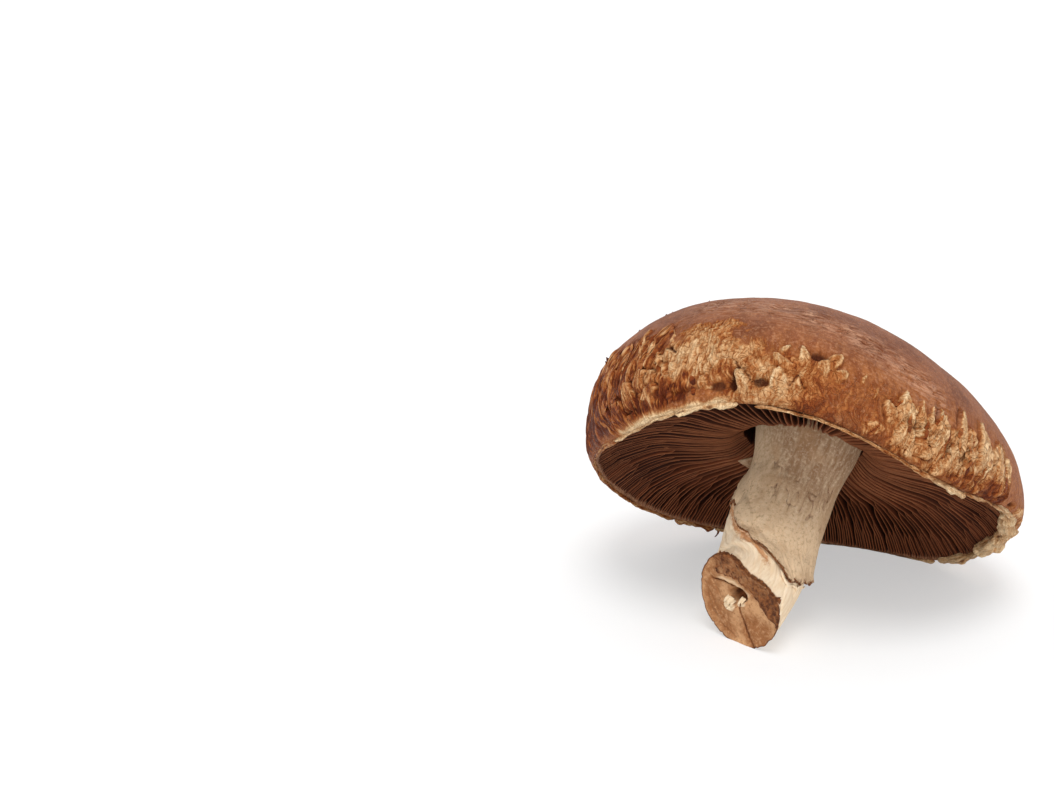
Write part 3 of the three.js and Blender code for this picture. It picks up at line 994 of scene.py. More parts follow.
# %% The cap
def make_cap():
    """The skin, the lip inside the rim and the flesh over the gills as one closed sheet."""
    columns = cap_columns()
    count = len(columns)
    crown_shares = np.linspace(1, 0, CROWN_ROWS, endpoint=False)
    rows = [lerp(TORN_HEIGHT, length_at(columns) - 0.8, share**1.15) for share in crown_shares]
    torn = np.linspace(0, TORN_HEIGHT, TORN_ROWS, endpoint=False)
    ups = np.array(rows + [np.full(count, up) for up in (TORN_HEIGHT, *torn[::-1])])
    phis = np.broadcast_to(columns, ups.shape)
    marks = relief(phis, ups)
    outward = skin_axes(phis, ups)[2]
    outer = on_map(phis, ups) + marks.pop("height")[..., None] * outward
    inner = [around_axis(rim_radius(columns) - inset, columns, rim_height(columns) + rise)
             for inset, rise in INNER_LIP]
    inner = np.array(inner + [ceiling(columns, along) for along in np.linspace(0, 1, CEILING_ROWS)])
    rough = rough_noise(inner / 1.6, 140)
    inner[..., 2] += 0.25 * rough * ease(0, 2, np.arange(len(inner)))[:, None]
    points, faces, ends = closed_sheet(np.concatenate([outer, inner]), lift=0.02)
    points = on_the_table(points)

    # The inside keeps the marks of the rim, and `inside` says how far in it is.
    stored = {}
    for name, values in marks.items():
        values = np.concatenate([values, np.broadcast_to(values[-1], (len(inner), count))])
        stored[name] = np.concatenate([values.ravel(), [0, 0]])
    inside = [0] * len(outer) + LIP_SHADES + [1] * (len(inner) - len(LIP_SHADES))
    stored["inside"] = np.concatenate([np.repeat(inside, count), [0, 1]])

    # Places for the noise: unrolled round the cap lower down, and the points themselves on the crown.
    down = np.broadcast_to(-0.9 * (1 + np.arange(len(inner)))[:, None], (len(inner), count))
    heights = np.concatenate([ups, down])
    crowded = ease(30, 80, heights.ravel())[:, None]
    directions = np.broadcast_to(columns, heights.shape)
    for name, turned in (("skin_place", directions), ("strand_place", along_strands(directions, heights))):
        places = lerp(round_cap(turned, heights, 1, 1).reshape(-1, 3), points[:-2], crowded)
        stored[name] = np.vstack([places, points[-2:]])
    make_piece("cap", points, faces, stored, weathered_cap, ["cap"], ends)


make_cap()

# %% [markdown]
# ## Loose flakes
#
# In torn skin many small flakes still hold at one end and curl away at the other. Each one here is a
# thin flattened tube that follows the skin and lifts towards its tip. They are scattered by a seeded
# random generator, zone by zone.

# %% Loose flakes
FLAKE_STEPS = 8
FLAKE_AROUND = 8
# Directions, heights up the skin, how many, lengths, half widths, and how much paler than the skin there.
FLAKE_ZONES = [
    ((192, 226), (12, 22), 22, (3.0, 6.0), (0.4, 0.8), (-0.08, 0.12)),
    ((196, 236), (3, 9), 12, (2.0, 3.5), (0.5, 1.0), (-0.08, 0.12)),
    ((283, 332), (3, 12), 30, (2.0, 4.5), (0.5, 1.0), (-0.2, 0.02)),
    ((20, 160), (1, 13), 60, (2.0, 5.0), (0.5, 1.0), (-0.2, 0.05)),
]
# Tiny dry bits that stand off the crest at the left: direction, mm up the skin, length.
CREST_BITS = [
    (189, 23.5, 1.3), (190, 22.4, 0.8), (196, 33, 0.5), (205, 38, 0.5), (207, 39, 0.4), (220, 43, 0.4),
]


def skin_marks(places, **given):
    """Marks for loose skin, which is torn and warm, with the places of its noise."""
    marks = {"torn": 1.0, "warm": 1.0, "strands": 0.0, "dusty": 0.0, "inside": 0.0}
    return marks | given | {"skin_place": places, "strand_place": places}


def crest_bit(direction, height, length):
    """A tiny pointed bit of dry skin that stands off the cap."""
    steps = np.linspace(0, 1, 6)
    phi, up = np.full(6, math.radians(direction)), height + 0.5 * length * steps
    across, along, _ = skin_axes(phi, up)
    centres = on_skin(phi, up, -0.2 + length * steps)
    half = (0.4 + 0.3 * length) * (1.05 - steps)
    return tube(centres, along, across, half, 0.12 + 0 * steps, FLAKE_AROUND)


def make_flakes():
    """The loose flakes of every zone, and the dry bits on the crest."""
    random = np.random.default_rng(21)
    steps = np.linspace(0, 1, FLAKE_STEPS)
    tubes = []
    for directions, heights, count, lengths, halves, shades in FLAKE_ZONES:
        phi = np.radians(random.uniform(*directions, count))
        up = random.uniform(*heights, count)
        length = random.uniform(*lengths, count)
        half = random.uniform(*halves, count)
        shade = random.uniform(*shades, count)
        turn = random.normal(0, 0.35, count)
        lift = random.uniform(0.03, 0.16, count) * length
        phis = phi[:, None] + steps * (np.sin(turn) * length / RIM_RADIUS)[:, None]
        ups = up[:, None] + steps * (np.cos(turn) * length)[:, None]
        marks = relief(phis, ups)
        outward = skin_axes(phis, ups)[2]
        resting = lerp(marks["height"][:, :1], marks["height"], 0.6)
        raised = resting + 0.05 + lift[:, None] * steps**1.7
        centres = on_map(phis, ups) + raised[..., None] * outward
        for i in range(count):
            ahead = unit(np.gradient(centres[i], axis=0))
            side = unit(np.cross(outward[i], ahead))
            out = np.cross(ahead, side)
            width = half[i] * np.sin(math.pi * np.clip(0.12 + 0.86 * steps, 0, 1)) ** 0.7
            grid = tube(centres[i], side, out, width, 0.05 + 0.06 * (1 - steps), FLAKE_AROUND)
            line = round_cap(phis[i], ups[i], 1, 1)[:, None]
            pale = marks["pale"][i, 0] + shade[i] + 0.1 * steps[:, None]
            dark = 0.5 * (1 - ease(0, 0.3, steps))[:, None]
            fibres = np.broadcast_to(line, grid.shape)
            tubes.append((grid, skin_marks(fibres, pale=pale, dark=dark, strands=0.6)))
    for bit in CREST_BITS:
        grid = crest_bit(*bit)
        tubes.append((grid, skin_marks(grid, pale=0.1, dark=0.5)))
    join_tubes("cap_flakes", tubes, weathered_cap)


make_flakes()

# %% [markdown]
# ## The torn edge of the rim
#
# The veil once closed the space under the cap. Where it tore off, it left thin strips and ragged lips
# along the rim, and thick crumpled rolls at the right end. Each one is a tube that runs along the rim.
# One dry sliver has come loose at the far side and hangs down.

# %% The torn edge of the rim
# From and to directions, mm inward of and below the rim, half sizes down and through, raggedness, paleness.
RIM_SHREDS = [
    (199, 232, 0.3, 0.3, 0.50, 0.26, 0.55, 0.84),
    (228, 246, 0.3, 0.5, 0.90, 0.26, 0.60, 0.90),
    (250, 300, 0.7, 0.7, 0.42, 0.16, 0.25, 0.56),
    (292, 312, 0.6, 0.8, 0.70, 0.20, 0.25, 0.56),
    (301, 315, 0.2, 1.4, 0.85, 0.34, 0.60, 0.86),
    (314, 341, 0.4, 0.6, 0.38, 0.25, 0.60, 0.62),
    (346, 381, 1.3, -0.3, 1.50, 2.30, 0.40, 0.80),
    (334, 347, 0.5, 0.3, 0.60, 0.60, 0.60, 0.80),
    (382, 397, 0.5, 0.1, 1.00, 1.20, 0.50, 0.82),
    (398, 465, 0.4, 0.3, 0.62, 0.50, 0.50, 0.74),
    (465, 478, 0.3, 0.2, 1.00, 0.55, 0.40, 0.50),
    (478, 520, 0.2, 0.2, 0.62, 0.50, 0.30, 0.44),
    (520, 562, 0.1, 0.1, 0.70, 0.50, 0.30, 0.42),
]
SHRED_STEP = 0.4
# The direction the sliver hangs at, and its length in mm.
SLIVER_AT = 465
SLIVER_LENGTH = 3.1


def hanging_sliver():
    """A thin bent sliver that hangs straight down from the far rim."""
    phi = np.radians(np.array([float(SLIVER_AT)]))
    top = around_axis(rim_radius(phi) - 0.5, phi, rim_height(phi) + 0.3)[0]
    down, aside, through = (LEAN.T @ np.array(way) for way in ((0, 0, -1), (1, 0, 0), (0, 1, 0)))
    steps = np.linspace(0, 1, 11)
    bend = 0.9 * np.sin(math.pi * steps)
    centres = top + SLIVER_LENGTH * steps[:, None] * down + bend[:, None] * aside
    half = lerp(0.50, 0.16, steps)
    return tube(centres, aside + 0 * centres, through + 0 * centres, half, half)


def make_rim_shreds():
    """Ragged tubes along the rim, and the sliver that hangs from it."""
    tubes = []
    for number, shred in enumerate(RIM_SHREDS):
        start, stop, inward, below, down, through, ragged, shade = shred
        around = 22 if through > 0.9 else 12
        count = int(math.radians(stop - start) * RIM_RADIUS / SHRED_STEP)
        phi = np.radians(np.linspace(start, stop, count))
        share = np.linspace(0, 1, count)
        taper = np.minimum(1, np.minimum(share, 1 - share) * count * SHRED_STEP / 1.6) ** 0.5
        taper = np.maximum(taper, 0.08)
        wander = cap_noise(phi, 0 * phi, 2.2, 1, 400 + number, 4)
        drift = cap_noise(phi, 0 * phi, 5, 1, 420 + number)
        radius = rim_radius(phi) - inward + 0.35 * drift
        centres = around_axis(radius, phi, 0)
        centres[:, 2] = rim_height(phi) - below - 0.45 * ragged * wander
        out = around_axis(1, phi, 0)
        side = np.broadcast_to(np.array([0.0, 0.0, -1.0]), out.shape)
        swell = 1 + 0.4 * (share - 0.5) if through > 2 else 1
        half_down = down * taper * (1 + ragged * wander) * swell
        half_through = through * taper * (1 + 0.5 * ragged * wander + 0.4 * ragged * drift) * swell
        grid = tube(centres, side, out, half_down, half_through, around)
        turn = np.arange(around) / around * TAU
        arc = phi[:, None] * RIM_RADIUS
        lumps = rough_noise(triples(arc / 3.6, 1.4 * np.cos(turn), 1.4 * np.sin(turn)), 440 + number, 4)
        away = unit(grid - centres[:, None])
        grid = grid + (0.5 * through * lumps * taper[:, None])[..., None] * away
        girth = 0.9 * (down + through)
        fibres = triples(girth * np.cos(turn) + 20 * number, girth * np.sin(turn), arc)
        # Paler on the lumps and darker in the hollows between them: painted light and shade.
        hollow_shade = 0.8 * ease(0.15, 0.65, -lumps)
        tubes.append((grid, skin_marks(fibres, pale=shade + 0.3 * lumps, dark=hollow_shade, strands=0.3)))
    sliver = hanging_sliver()
    tubes.append((sliver, skin_marks(sliver, pale=0.25, dark=0.6, strands=0.3)))
    join_tubes("rim_shreds", tubes, weathered_cap)


make_rim_shreds()

# %% [markdown]
# ## The gills
#
# The gills are thin blades that hang from the flesh and run from the rim to the stem. Between two whole
# blades there are shorter ones, so that the spacing stays about the same as the circle widens.
# Each blade is a closed strip with a thick root and a thinner, slightly wavy free edge. Neighbours
# sway together, which is why the noise that bends them is much wider than their spacing.

# %% The gills' material
# Colours by depth from the root to the free edge: paler at the free edge, and painted darker towards the
# root as the shade deep between the blades.
GILL_COLOURS_AND_DEPTH_SHADE = [
    (0.0, (38, 14, 6)), (0.6, (53, 21, 9)), (0.86, (72, 33, 16)), (0.95, (110, 57, 32)),
    (1.0, (170, 108, 72)),
]


def gill_material():
    material, tree, surface = new_material("dark_gills")
    place = mark(tree, "blade_place", "Vector")
    edge = mark(tree, "edge")
    streak = grain(scaled(place, 0.25, 3.0, 3.0), 1.0, 4, 0.6)
    mottle = grain(place, 0.16, 3, 0.5)
    colour = shade_card(edge, GILL_COLOURS_AND_DEPTH_SHADE)
    colour = mix(between(streak, 0.56, 0.35, 0, 0.5), colour, (60, 26, 14))
    colour = mix(between(mottle, 0.42, 0.62, 0, 0.25), colour, (112, 60, 36))
    # Blades are darkened by their tone, which is partly painted shade; their free edges less so.
    darker = between(mark(tree, "tone_and_shade"), 0.30, 1.0, 0, 0.85) * between(edge, 0.93, 1.0, 1, 0.3)
    colour = mix(darker, colour, (34, 12, 6))
    finish_surface(surface, colour, between(streak, 0.3, 0.7, 0.55, 0.8), streak, 0.15, 0.1)
    return material


dark_gills = gill_material()

# %% Lines of the gills
WHOLE_BLADES = 110
GILL_OUTER_INSET = 1.0
GILL_INNER_RADIUS = 15.3
GILL_EDGE = [(0, 0.1), (0.07, 2.2), (0.15, 4.3), (0.4, 7.8), (0.7, 8.7), (0.88, 9.7), (1, 12.6)]
SHORTEST_STEPS = 12
WHOLE_STEPS = 34
# The section of a blade: its side, its depth from the root to the free edge, and its thickness there.
BLADE_SECTION = [
    (-1, 0.0, 0.75), (-1, 0.6, 0.6), (-1, 0.95, 0.30), (0, 1.0, 0.0), (1, 0.95, 0.30), (1, 0.6, 0.6),
    (1, 0.0, 0.75),
]
# How far the blades' roots go into the flesh, in mm.
ROOT_SUNK = 0.3


def smooth_line(knots, spread):
    """A smooth curve through a few knots, read at places from 0 to 1."""
    knots = np.array(knots, float)
    padded = np.vstack([2 * knots[0] - knots[1], knots, 2 * knots[-1] - knots[-2]])
    place = np.clip(np.asarray(spread, float), 0, 1) * (len(knots) - 1)
    first = np.minimum(place.astype(int), len(knots) - 2)
    t = (place - first)[..., None]
    a, b, c, d = (padded[first + i] for i in range(4))
    return 0.5 * (2 * b + (c - a) * t + (2 * a - 5 * b + 4 * c - d) * t**2 + (3 * b - a - 3 * c + d) * t**3)


edge_line = smooth_line(GILL_EDGE, np.linspace(0, 1, 200))


def root_height(phi, radius):
    """The height of a blade's root, a little way into the flesh, at a radius."""
    inset = rim_radius(phi) - radius
    wall = rim_radius(phi) - WALL_TOP[0]
    along = np.clip((wall - radius) / (wall - GILL_ROOT_RADIUS), 0, 1)
    insets, rises = zip((1.0, 0.8), *INNER_LIP[2:], WALL_TOP)
    lip = rim_height(phi) + np.interp(inset, insets, rises)
    return np.where(radius > wall, lip, flesh_height(phi, along)) + ROOT_SUNK


# %% The gills
def blade_list():
    """Every blade: its direction and how far in it reaches, as a share of the way to the stem."""
    random = np.random.default_rng(8)
    blades = []
    pitch = TAU / WHOLE_BLADES
    for i in range(WHOLE_BLADES):
        start = i * pitch + random.uniform(-0.12, 0.12) * pitch
        blades.append((start, 1.0))
        blades.append((start + pitch / 2, random.uniform(0.42, 0.68)))
        blades.append((start + pitch / 4, random.uniform(0.14, 0.34)))
        if random.uniform() < 0.85:
            blades.append((start + 3 * pitch / 4, random.uniform(0.10, 0.24)))
    return blades


def make_gills():
    """All blades as one mesh. Each is a closed strip with the points of its section in rows."""
    random = np.random.default_rng(9)
    points, faces, ends, edges, tones_and_shade, places = ([] for _ in range(6))
    total = 0
    for start, reach in blade_list():
        rows = SHORTEST_STEPS + int((WHOLE_STEPS - SHORTEST_STEPS) * reach)
        steps = np.linspace(0, 1, rows)
        along = steps**1.25 * reach
        phi = np.full(rows, start)
        radius = lerp(rim_radius(phi) - GILL_OUTER_INSET, GILL_INNER_RADIUS, along)
        free = np.interp(along, edge_line[:, 0], edge_line[:, 1]) + rim_height(phi) * (1 - along)
        root = root_height(phi, radius)
        axis_place = around_axis(radius, phi, 0)
        free = free + 0.22 * soft_noise(axis_place / 6.0, 150)
        free = free + 0.28 * random.uniform(-1, 1) * ease(0, 0.1, steps)
        if reach < 0.99:
            free = lerp(free, root - ROOT_SUNK, ease(0.72, 1.0, steps))
        bend = 0.9 * soft_noise(axis_place / 12.0, 151) + 0.12 * soft_noise(axis_place / 4.0, 152)
        bend = bend + 0.07 * random.uniform(-1, 1)
        curl = 0.35 * soft_noise(axis_place / 8.0 + 3, 153)
        thin = np.minimum(1, 0.55 + 0.45 * radius / 40)
        tip = 0.35 + 0.65 * np.minimum(ease(-0.02, 0.06, steps), 1 - ease(0.96, 1.02, steps))
        degrees = math.degrees(start) % 360
        # A blade's tone differs at random, and the blades on the left are painted darker as shade.
        blade_tone_and_shade = 0.75 * random.uniform() + 0.6 * ease(268, 236, degrees) * ease(110, 165, degrees)
        count = len(BLADE_SECTION)
        for side, depth, thickness in BLADE_SECTION:
            shift = bend * 0.8 + curl * depth**2 + side * thickness / 2 * thin * tip
            turn = phi + shift / np.maximum(radius, 12)
            points.append(around_axis(radius, turn, lerp(root, free, depth)))
            edges.append(np.full(rows, depth))
            tones_and_shade.append(np.full(rows, blade_tone_and_shade + 0.15 * random.uniform(-1, 1)))
            places.append(triples(radius, start * 40 + side, depth * 4))
        faces.append(grid_faces(count, rows, False, True, total))
        first_end = total + np.arange(count) * rows
        ends += [fan(first_end)[:, ::-1], fan(first_end + rows - 1)]
        total += count * rows
    points = on_the_table(np.vstack(points), GILLS_ABOVE_TABLE)
    stored = {"edge": np.concatenate(edges), "tone_and_shade": np.concatenate(tones_and_shade), "blade_place": np.vstack(places)}
    faces, ends = np.vstack(faces), np.vstack(ends)
    make_piece("gills", points, faces, stored, dark_gills, ["gills"], ends)


make_gills()

# %% [markdown]
# ## The stem
#
# The stem leaves the middle of the gills, narrows, and bends to its slanted cut. Its skin is a pale
# beige sheath of fine lengthwise fibres with short brown dashes, painted darker and greyer up under
# the cap as shade.
# The cut end has dried: a dark bark edge, a tan face with cracks and a pit where the core has torn out.

# %% The line of the stem
STEM_LINE = [
    (1.1, -0.1, 22.0), (1.1, -0.2, 13.7), (-0.5, -0.1, 3.3), (-2.2, -0.3, -4.5),
    (-3.8, -0.9, -12.8), (-5.2, -2.1, -20.5), (-7.2, -5.3, -27.7), (-10.4, -10.9, -33.4),
]
STEM_RADII = [15.1, 13.7, 11.6, 11.7, 11.7, 11.2, 11.1, 12.4]
CUT_FACING = unit(np.array([-0.652, -0.467, -0.596]))
CUT_LEANS_FROM = 0.74

line_spread = np.linspace(0, 1, 600)
line_points = smooth_line(STEM_LINE, line_spread)
line_lengths = np.concatenate([[0], np.linalg.norm(np.diff(line_points, axis=0), axis=1).cumsum()])
STEM_LENGTH = line_lengths[-1]
line_radii = smooth_line([(radius,) for radius in STEM_RADII], line_spread)[:, 0]
print("stem length, mm:", STEM_LENGTH.round(1))


def read_line(values, share):
    """A value of the stem's line at a share of its length."""
    place = np.clip(share, 0, 1) * STEM_LENGTH
    if values.ndim == 1:
        return np.interp(place, line_lengths, values)
    return np.stack([np.interp(place, line_lengths, values[:, i]) for i in range(3)], -1)


def beside_stem(share, psi, out=0.0, radius=None, sunk=0.0):
    """A point by the stem: a share down it, an angle psi round it, and `out` mm off its skin."""
    centre = read_line(line_points, share)
    tangent = unit(read_line(np.gradient(line_points, axis=0), share))
    lean = ease(CUT_LEANS_FROM, 1, share)[..., None]
    down = unit(lerp(tangent, CUT_FACING, lean))
    left = unit(np.cross(np.array([0.0, 1.0, 0.0]), down))
    back = np.cross(down, left)
    reach = (read_line(line_radii, share) if radius is None else radius) + out
    side = np.cos(psi)[..., None] * left + np.sin(psi)[..., None] * back
    return centre + reach[..., None] * side - np.asarray(sunk)[..., None] * down


# %% The stem's material
# The mark `down` grows down the stem. This is what it is at the ring's torn edge, and the ring itself
# keeps below it, so that the sheath's colour ends where the ring does.
DOWN_AT_EDGE = 0.71
EDGE_BLEND = 0.01


def stem_material():
    material, tree, surface = new_material("pale_stem")
    place = mark(tree, "stem_place", "Vector")
    names = ("down", "stain", "face", "dark", "pale")
    down, stain, face, dark, pale = (mark(tree, name) for name in names)
    fibre = grain(scaled(place, 1, 1, 0.2), 0.9, 5, 0.65, 0.3)
    speck = grain(place, 1.2, 5, 0.7)
    cloud = grain(place, 0.13, 3, 0.5)

    # The sheath above the ring's edge, the smooth skin below it, and the stain between them.
    # Painted shade: the sheath is darker and greyer up under the cap.
    sheath = mix(between(down, 0.12, 0.58), (152, 116, 86), (230, 198, 160))
    sheath = mix(between(fibre, 0.40, 0.66, 0, 0.4), sheath, (226, 200, 168))
    sheath = mix(between(speck, 0.50, 0.64, 0, 0.4), sheath, (230, 206, 176))
    sheath = mix(between(speck, 0.48, 0.34, 0, 0.5), sheath, (150, 114, 80))
    sheath = mix(between(cloud, 0.50, 0.64, 0, 0.4), sheath, (184, 144, 106))
    smooth_low = mix(between(fibre, 0.35, 0.65), (238, 210, 174), (250, 229, 200))
    skin = mix(between(down, DOWN_AT_EDGE - EDGE_BLEND, DOWN_AT_EDGE + EDGE_BLEND), sheath, smooth_low)
    skin = mix(between(stain + swing(speck, 1.6), 0.30, 0.95, 0, 0.8), skin, (188, 118, 56))

    # The dried cut, and the bark, dashes and pale fibres, which can lie on all of it.
    cut = mix(between(cloud, 0.40, 0.60), (150, 100, 62), (194, 148, 106))
    cut = mix(between(speck, 0.50, 0.64, 0, 0.5), cut, (206, 160, 118))
    cut = mix(between(speck, 0.46, 0.34, 0, 0.6), cut, (124, 76, 42))
    colour = mix(face, skin, cut)
    bark = mix(between(fibre, 0.36, 0.66), (64, 26, 10), (138, 84, 48))
    colour = mix(between(dark + swing(speck, 1.0), 0.28, 0.72, 0, 0.95), colour, bark)
    colour = mix(between(pale, 0.1, 0.9), colour, (240, 220, 186))
    roughness = between(fibre, 0.3, 0.7, 0.6, 0.8)
    finish_surface(surface, colour, roughness, fibre * 0.6 + speck * 0.5, 0.45, 0.12)
    return material


pale_stem = stem_material()

# %% [markdown]
# ## The cut end
#
# The cut face is not quite round: one side is flat, where the stem was thinner. Its marks are given in
# shares of the stem's radius, x towards the stem's left and y towards its back. A band of rough bark
# curls over the flat side, with a pale strip beside it. Next to them the core has torn out and left a
# pit, and a long crack runs from the pit to the edge.

# %% Marks on the cut face
FLAT_SIDE = math.radians(290)
FLAT_WIDTH = 34
FLAT_DEPTH = 0.31
BAND_EDGE_X = [-1.0, -0.65, -0.43, 0.0, 0.34, 0.50, 0.67, 0.80, 1.0]
BAND_EDGE_Y = [-0.45, -0.41, -0.39, -0.32, -0.25, -0.07, 0.14, 0.08, -0.05]
# Round spots, as centre and size: the pit, and two bits of the pale core beside it.
PIT = (0.09, -0.01), 0.19
CORE = (0.05, 0.31), 0.15
SMALL_CORE = (-0.10, -0.02), 0.08
LONG_CRACK = [(-0.02, 0.10), (-0.15, 0.20), (-0.46, 0.31), (-0.68, 0.39), (-0.92, 0.40)]
SHORT_CRACKS = [
    [(0.72, 0.36), (0.48, 0.40), (0.22, 0.45)],
    [(0.52, 0.72), (0.20, 0.80), (-0.22, 0.84)],
    [(0.60, 0.62), (0.35, 0.66), (0.10, 0.74)],
    [(0.70, 0.58), (0.31, 0.83), (-0.11, 0.86), (-0.54, 0.70)],
]


def flat_side(psi, share):
    """How much of the stem's radius is left at an angle: less on the flat side, near the cut."""
    from_flat = np.degrees(np.abs((psi - FLAT_SIDE + math.pi) % TAU - math.pi))
    return 1 - FLAT_DEPTH * bell(from_flat, FLAT_WIDTH) * ease(0.80, 1.0, share)


def from_line(x, y, knots):
    """How far each place is from a line of straight pieces."""
    nearest = np.full(x.shape, 9.0)
    for (ax, ay), (bx, by) in zip(knots, knots[1:]):
        share = ((x - ax) * (bx - ax) + (y - ay) * (by - ay)) / ((bx - ax) ** 2 + (by - ay) ** 2)
        share = np.clip(share, 0, 1)
        nearest = np.minimum(nearest, np.hypot(x - lerp(ax, bx, share), y - lerp(ay, by, share)))
    return nearest


def cut_face(x, y, share_out):
    """The dried cut: how far each place is sunk in mm, and its dark and pale marks."""
    flat = triples(x * 5, y * 5, 0)
    wobble = rough_noise(flat, 211, 4)
    fine = rough_noise(flat * 5, 215)
    in_band = np.interp(x, BAND_EDGE_X, BAND_EDGE_Y) - y + 0.035 * wobble
    band = ease(-0.01, 0.03, in_band)
    strip = bell(in_band + 0.10, 0.07) * ease(-0.2, 0.0, x) * (1 - ease(0.56, 0.70, x))
    beside = bell(in_band + 0.22, 0.035) * ease(0.18, 0.3, x) * (1 - ease(0.66, 0.76, x))

    def spot(place, ragged, low=0.7, high=1.1):
        """A ragged round spot: 1 inside, 0 outside."""
        (middle_x, middle_y), size = place
        return 1 - ease(low, high, np.hypot(x - middle_x, y - middle_y) / size + ragged)

    pit = spot(PIT, 0.3 * wobble, 0.75, 1.2)
    crack = bell(from_line(x + 0.02 * wobble, y + 0.03 * fine, LONG_CRACK), 0.042)
    for knots in SHORT_CRACKS:
        crack = np.maximum(crack, 0.6 * bell(from_line(x, y + 0.03 * wobble, knots), 0.022))
    core = np.maximum(spot(CORE, 0.5 * wobble + 0.2 * fine), spot(SMALL_CORE, 0.5 * wobble))
    rim_line = ease(0.955, 0.99, share_out)
    sunk = 0.45 * (1 - ease(0.86, 0.98, share_out)) - 0.20 * wobble - 0.08 * fine + 3.8 * pit
    sunk = sunk + 0.4 * crack + 0.6 * beside - 0.4 * strip - band * (0.5 + 0.35 * wobble + 0.15 * fine)
    band_dark = 0.74 - 0.24 * ease(-0.5, 0.1, x) + 0.3 * bell(in_band, 0.05) + 0.2 * (fine + wobble)
    dark = np.maximum(band * band_dark, np.maximum(pit, 0.70 * crack))
    dark = np.maximum(dark, np.maximum(0.75 * rim_line, 0.85 * beside))
    return sunk - core * (0.9 + 0.5 * fine), dark * (1 - core), np.maximum(0.46 * strip, 0.72 * core)


# %% The relief of the stem
STEM_COLUMNS = 300
STEM_ROWS = 190
FACE_ROWS = 66
STEM_RADIUS = 11.7
RING_EDGE = 39.6
RING_EDGE_WAVES = [(1, -5.5, -8.4), (2, -2.7, 1.3), (3, -0.8, 0.9), (9, 0.35, 0.3)]
# The belt of brown dashes: mm down the stem, and its width.
DASHES = (26.0, 7.0)
# The stain: share below the ring's edge, its width, and the angle round the stem it is at.
STAIN = (0.03, 0.055, 322)


def round_stem(psi, share, across, along):
    """Noise places on the stem for features `across` mm wide and `along` mm long."""
    return around_axis(STEM_RADIUS / across, psi, share * STEM_LENGTH / along)


def stem_noise(psi, share, across, along, seed, octaves=3):
    """Rough noise on the skin of the stem."""
    return rough_noise(round_stem(psi, share, across, along), seed, octaves)


def ring_edge_share(psi):
    """Where the ring's torn edge hangs, as a share of the stem's length."""
    return (RING_EDGE + waves(psi, RING_EDGE_WAVES)) / STEM_LENGTH


def stem_relief(psi, share):
    """Height over the stem's bare skin, and the brown dashes on it."""
    height = 0.22 * stem_noise(psi, share, 7, 14, 201)
    height += 0.12 * stem_noise(psi, share, 1.3, 5, 202)
    near_edge = ease(-0.30, -0.06, share - ring_edge_share(psi))
    folds = np.abs(soft_noise(round_stem(psi + 2.2 * share, share, 2.0, 6.0), 208))
    height += 0.35 * near_edge * np.minimum(1, folds / 0.3)
    above = 1 - ease(-0.01, 0.01, share - ring_edge_share(psi))
    line = np.abs(soft_noise(round_stem(psi, share, 1.3, 3.2), 207))
    front = ease(0.5, 0.9, np.cos(psi - math.radians(262)))
    patch = stem_noise(psi, share, 5, 5, 206)
    belt = bell(share * STEM_LENGTH - DASHES[0], DASHES[1])
    dash = (1 - ease(0.04, 0.30, line)) * ease(0.15, 0.6, patch + (0.4 + 0.5 * front) * belt - 0.15) * above
    return height - 0.16 * dash, dash


def stain_at(psi, share):
    """The orange stain just under the ring's edge, towards the front left."""
    below = share - ring_edge_share(psi)
    lowest, width, angle = STAIN
    spot = bell(below - lowest, width) * ease(-0.02, 0.0, below)
    return spot * ease(0.50, 0.90, np.cos(psi - math.radians(angle)))


# %% The stem
def make_stem():
    """The stem's side and its cut face as one closed sheet."""
    psi = np.arange(STEM_COLUMNS) / STEM_COLUMNS * TAU
    share = np.linspace(0, 1, STEM_ROWS)[:, None] + 0 * psi
    psis = np.broadcast_to(psi, share.shape)
    height, dash = stem_relief(psis, share)
    stain = stain_at(psis, share)
    height = height + 0.5 * stain * stem_noise(psis, share, 1.6, 1.6, 207)
    bark_end = ease(0.975, 0.992, share + 0.008 * stem_noise(psis, share, 1.2, 2, 205, 4))
    bare = read_line(line_radii, share) * flat_side(psis, share)
    side = beside_stem(share, psis, height, bare)
    out = np.linspace(1, 0.012, FACE_ROWS)[1:, None] + 0 * psi
    psis_in = np.broadcast_to(psi, out.shape)
    left = out * flat_side(psis_in, 1.0)
    sunk, dark, pale = cut_face(left * np.cos(psis_in), left * np.sin(psis_in), out)
    face = beside_stem(np.ones(out.shape), psis_in, 0.0, out * (bare[-1] + height[-1]), sunk)
    points, faces, ends = closed_sheet(np.concatenate([side, face]))
    points = on_the_table(points)

    def whole(on_side, on_face, at_ends=(0, 0)):
        """A mark for the points of the side, those of the cut face, and the middles of both ends."""
        return np.concatenate([np.ravel(on_side + 0 * share), np.ravel(on_face + 0 * out), at_ends])

    side_place = round_stem(psis, share, 1, 1)
    face_place = around_axis(STEM_RADIUS * left, psis_in, STEM_LENGTH + 3)
    stored = {
        "down": whole(share - ring_edge_share(psis) + DOWN_AT_EDGE, 1, (0, 1)),
        "stain": whole(stain, 0),
        "face": whole(bark_end, 1, (0, 1)),
        "dark": whole(np.maximum(0.50 * dash, 0.9 * bark_end), dark, (0, 1)),
        "pale": whole(0, pale),
        "stem_place": np.vstack([side_place.reshape(-1, 3), face_place.reshape(-1, 3), [[0, 0, 0]] * 2]),
    }
    make_piece("stem", points, faces, stored, pale_stem, ["stem"], ends)


make_stem()

# %% [markdown]
# ## The ring
#
# The ring is what is left of the veil that once closed the cap: a thin sheath round the stem that ends
# in a torn, browned edge. It is a thin closed sheet. Its upper end lies inside the stem's skin, so that
# it seems to grow out of it, and its lower edge stands off, wavy and ragged, most of all at one side.

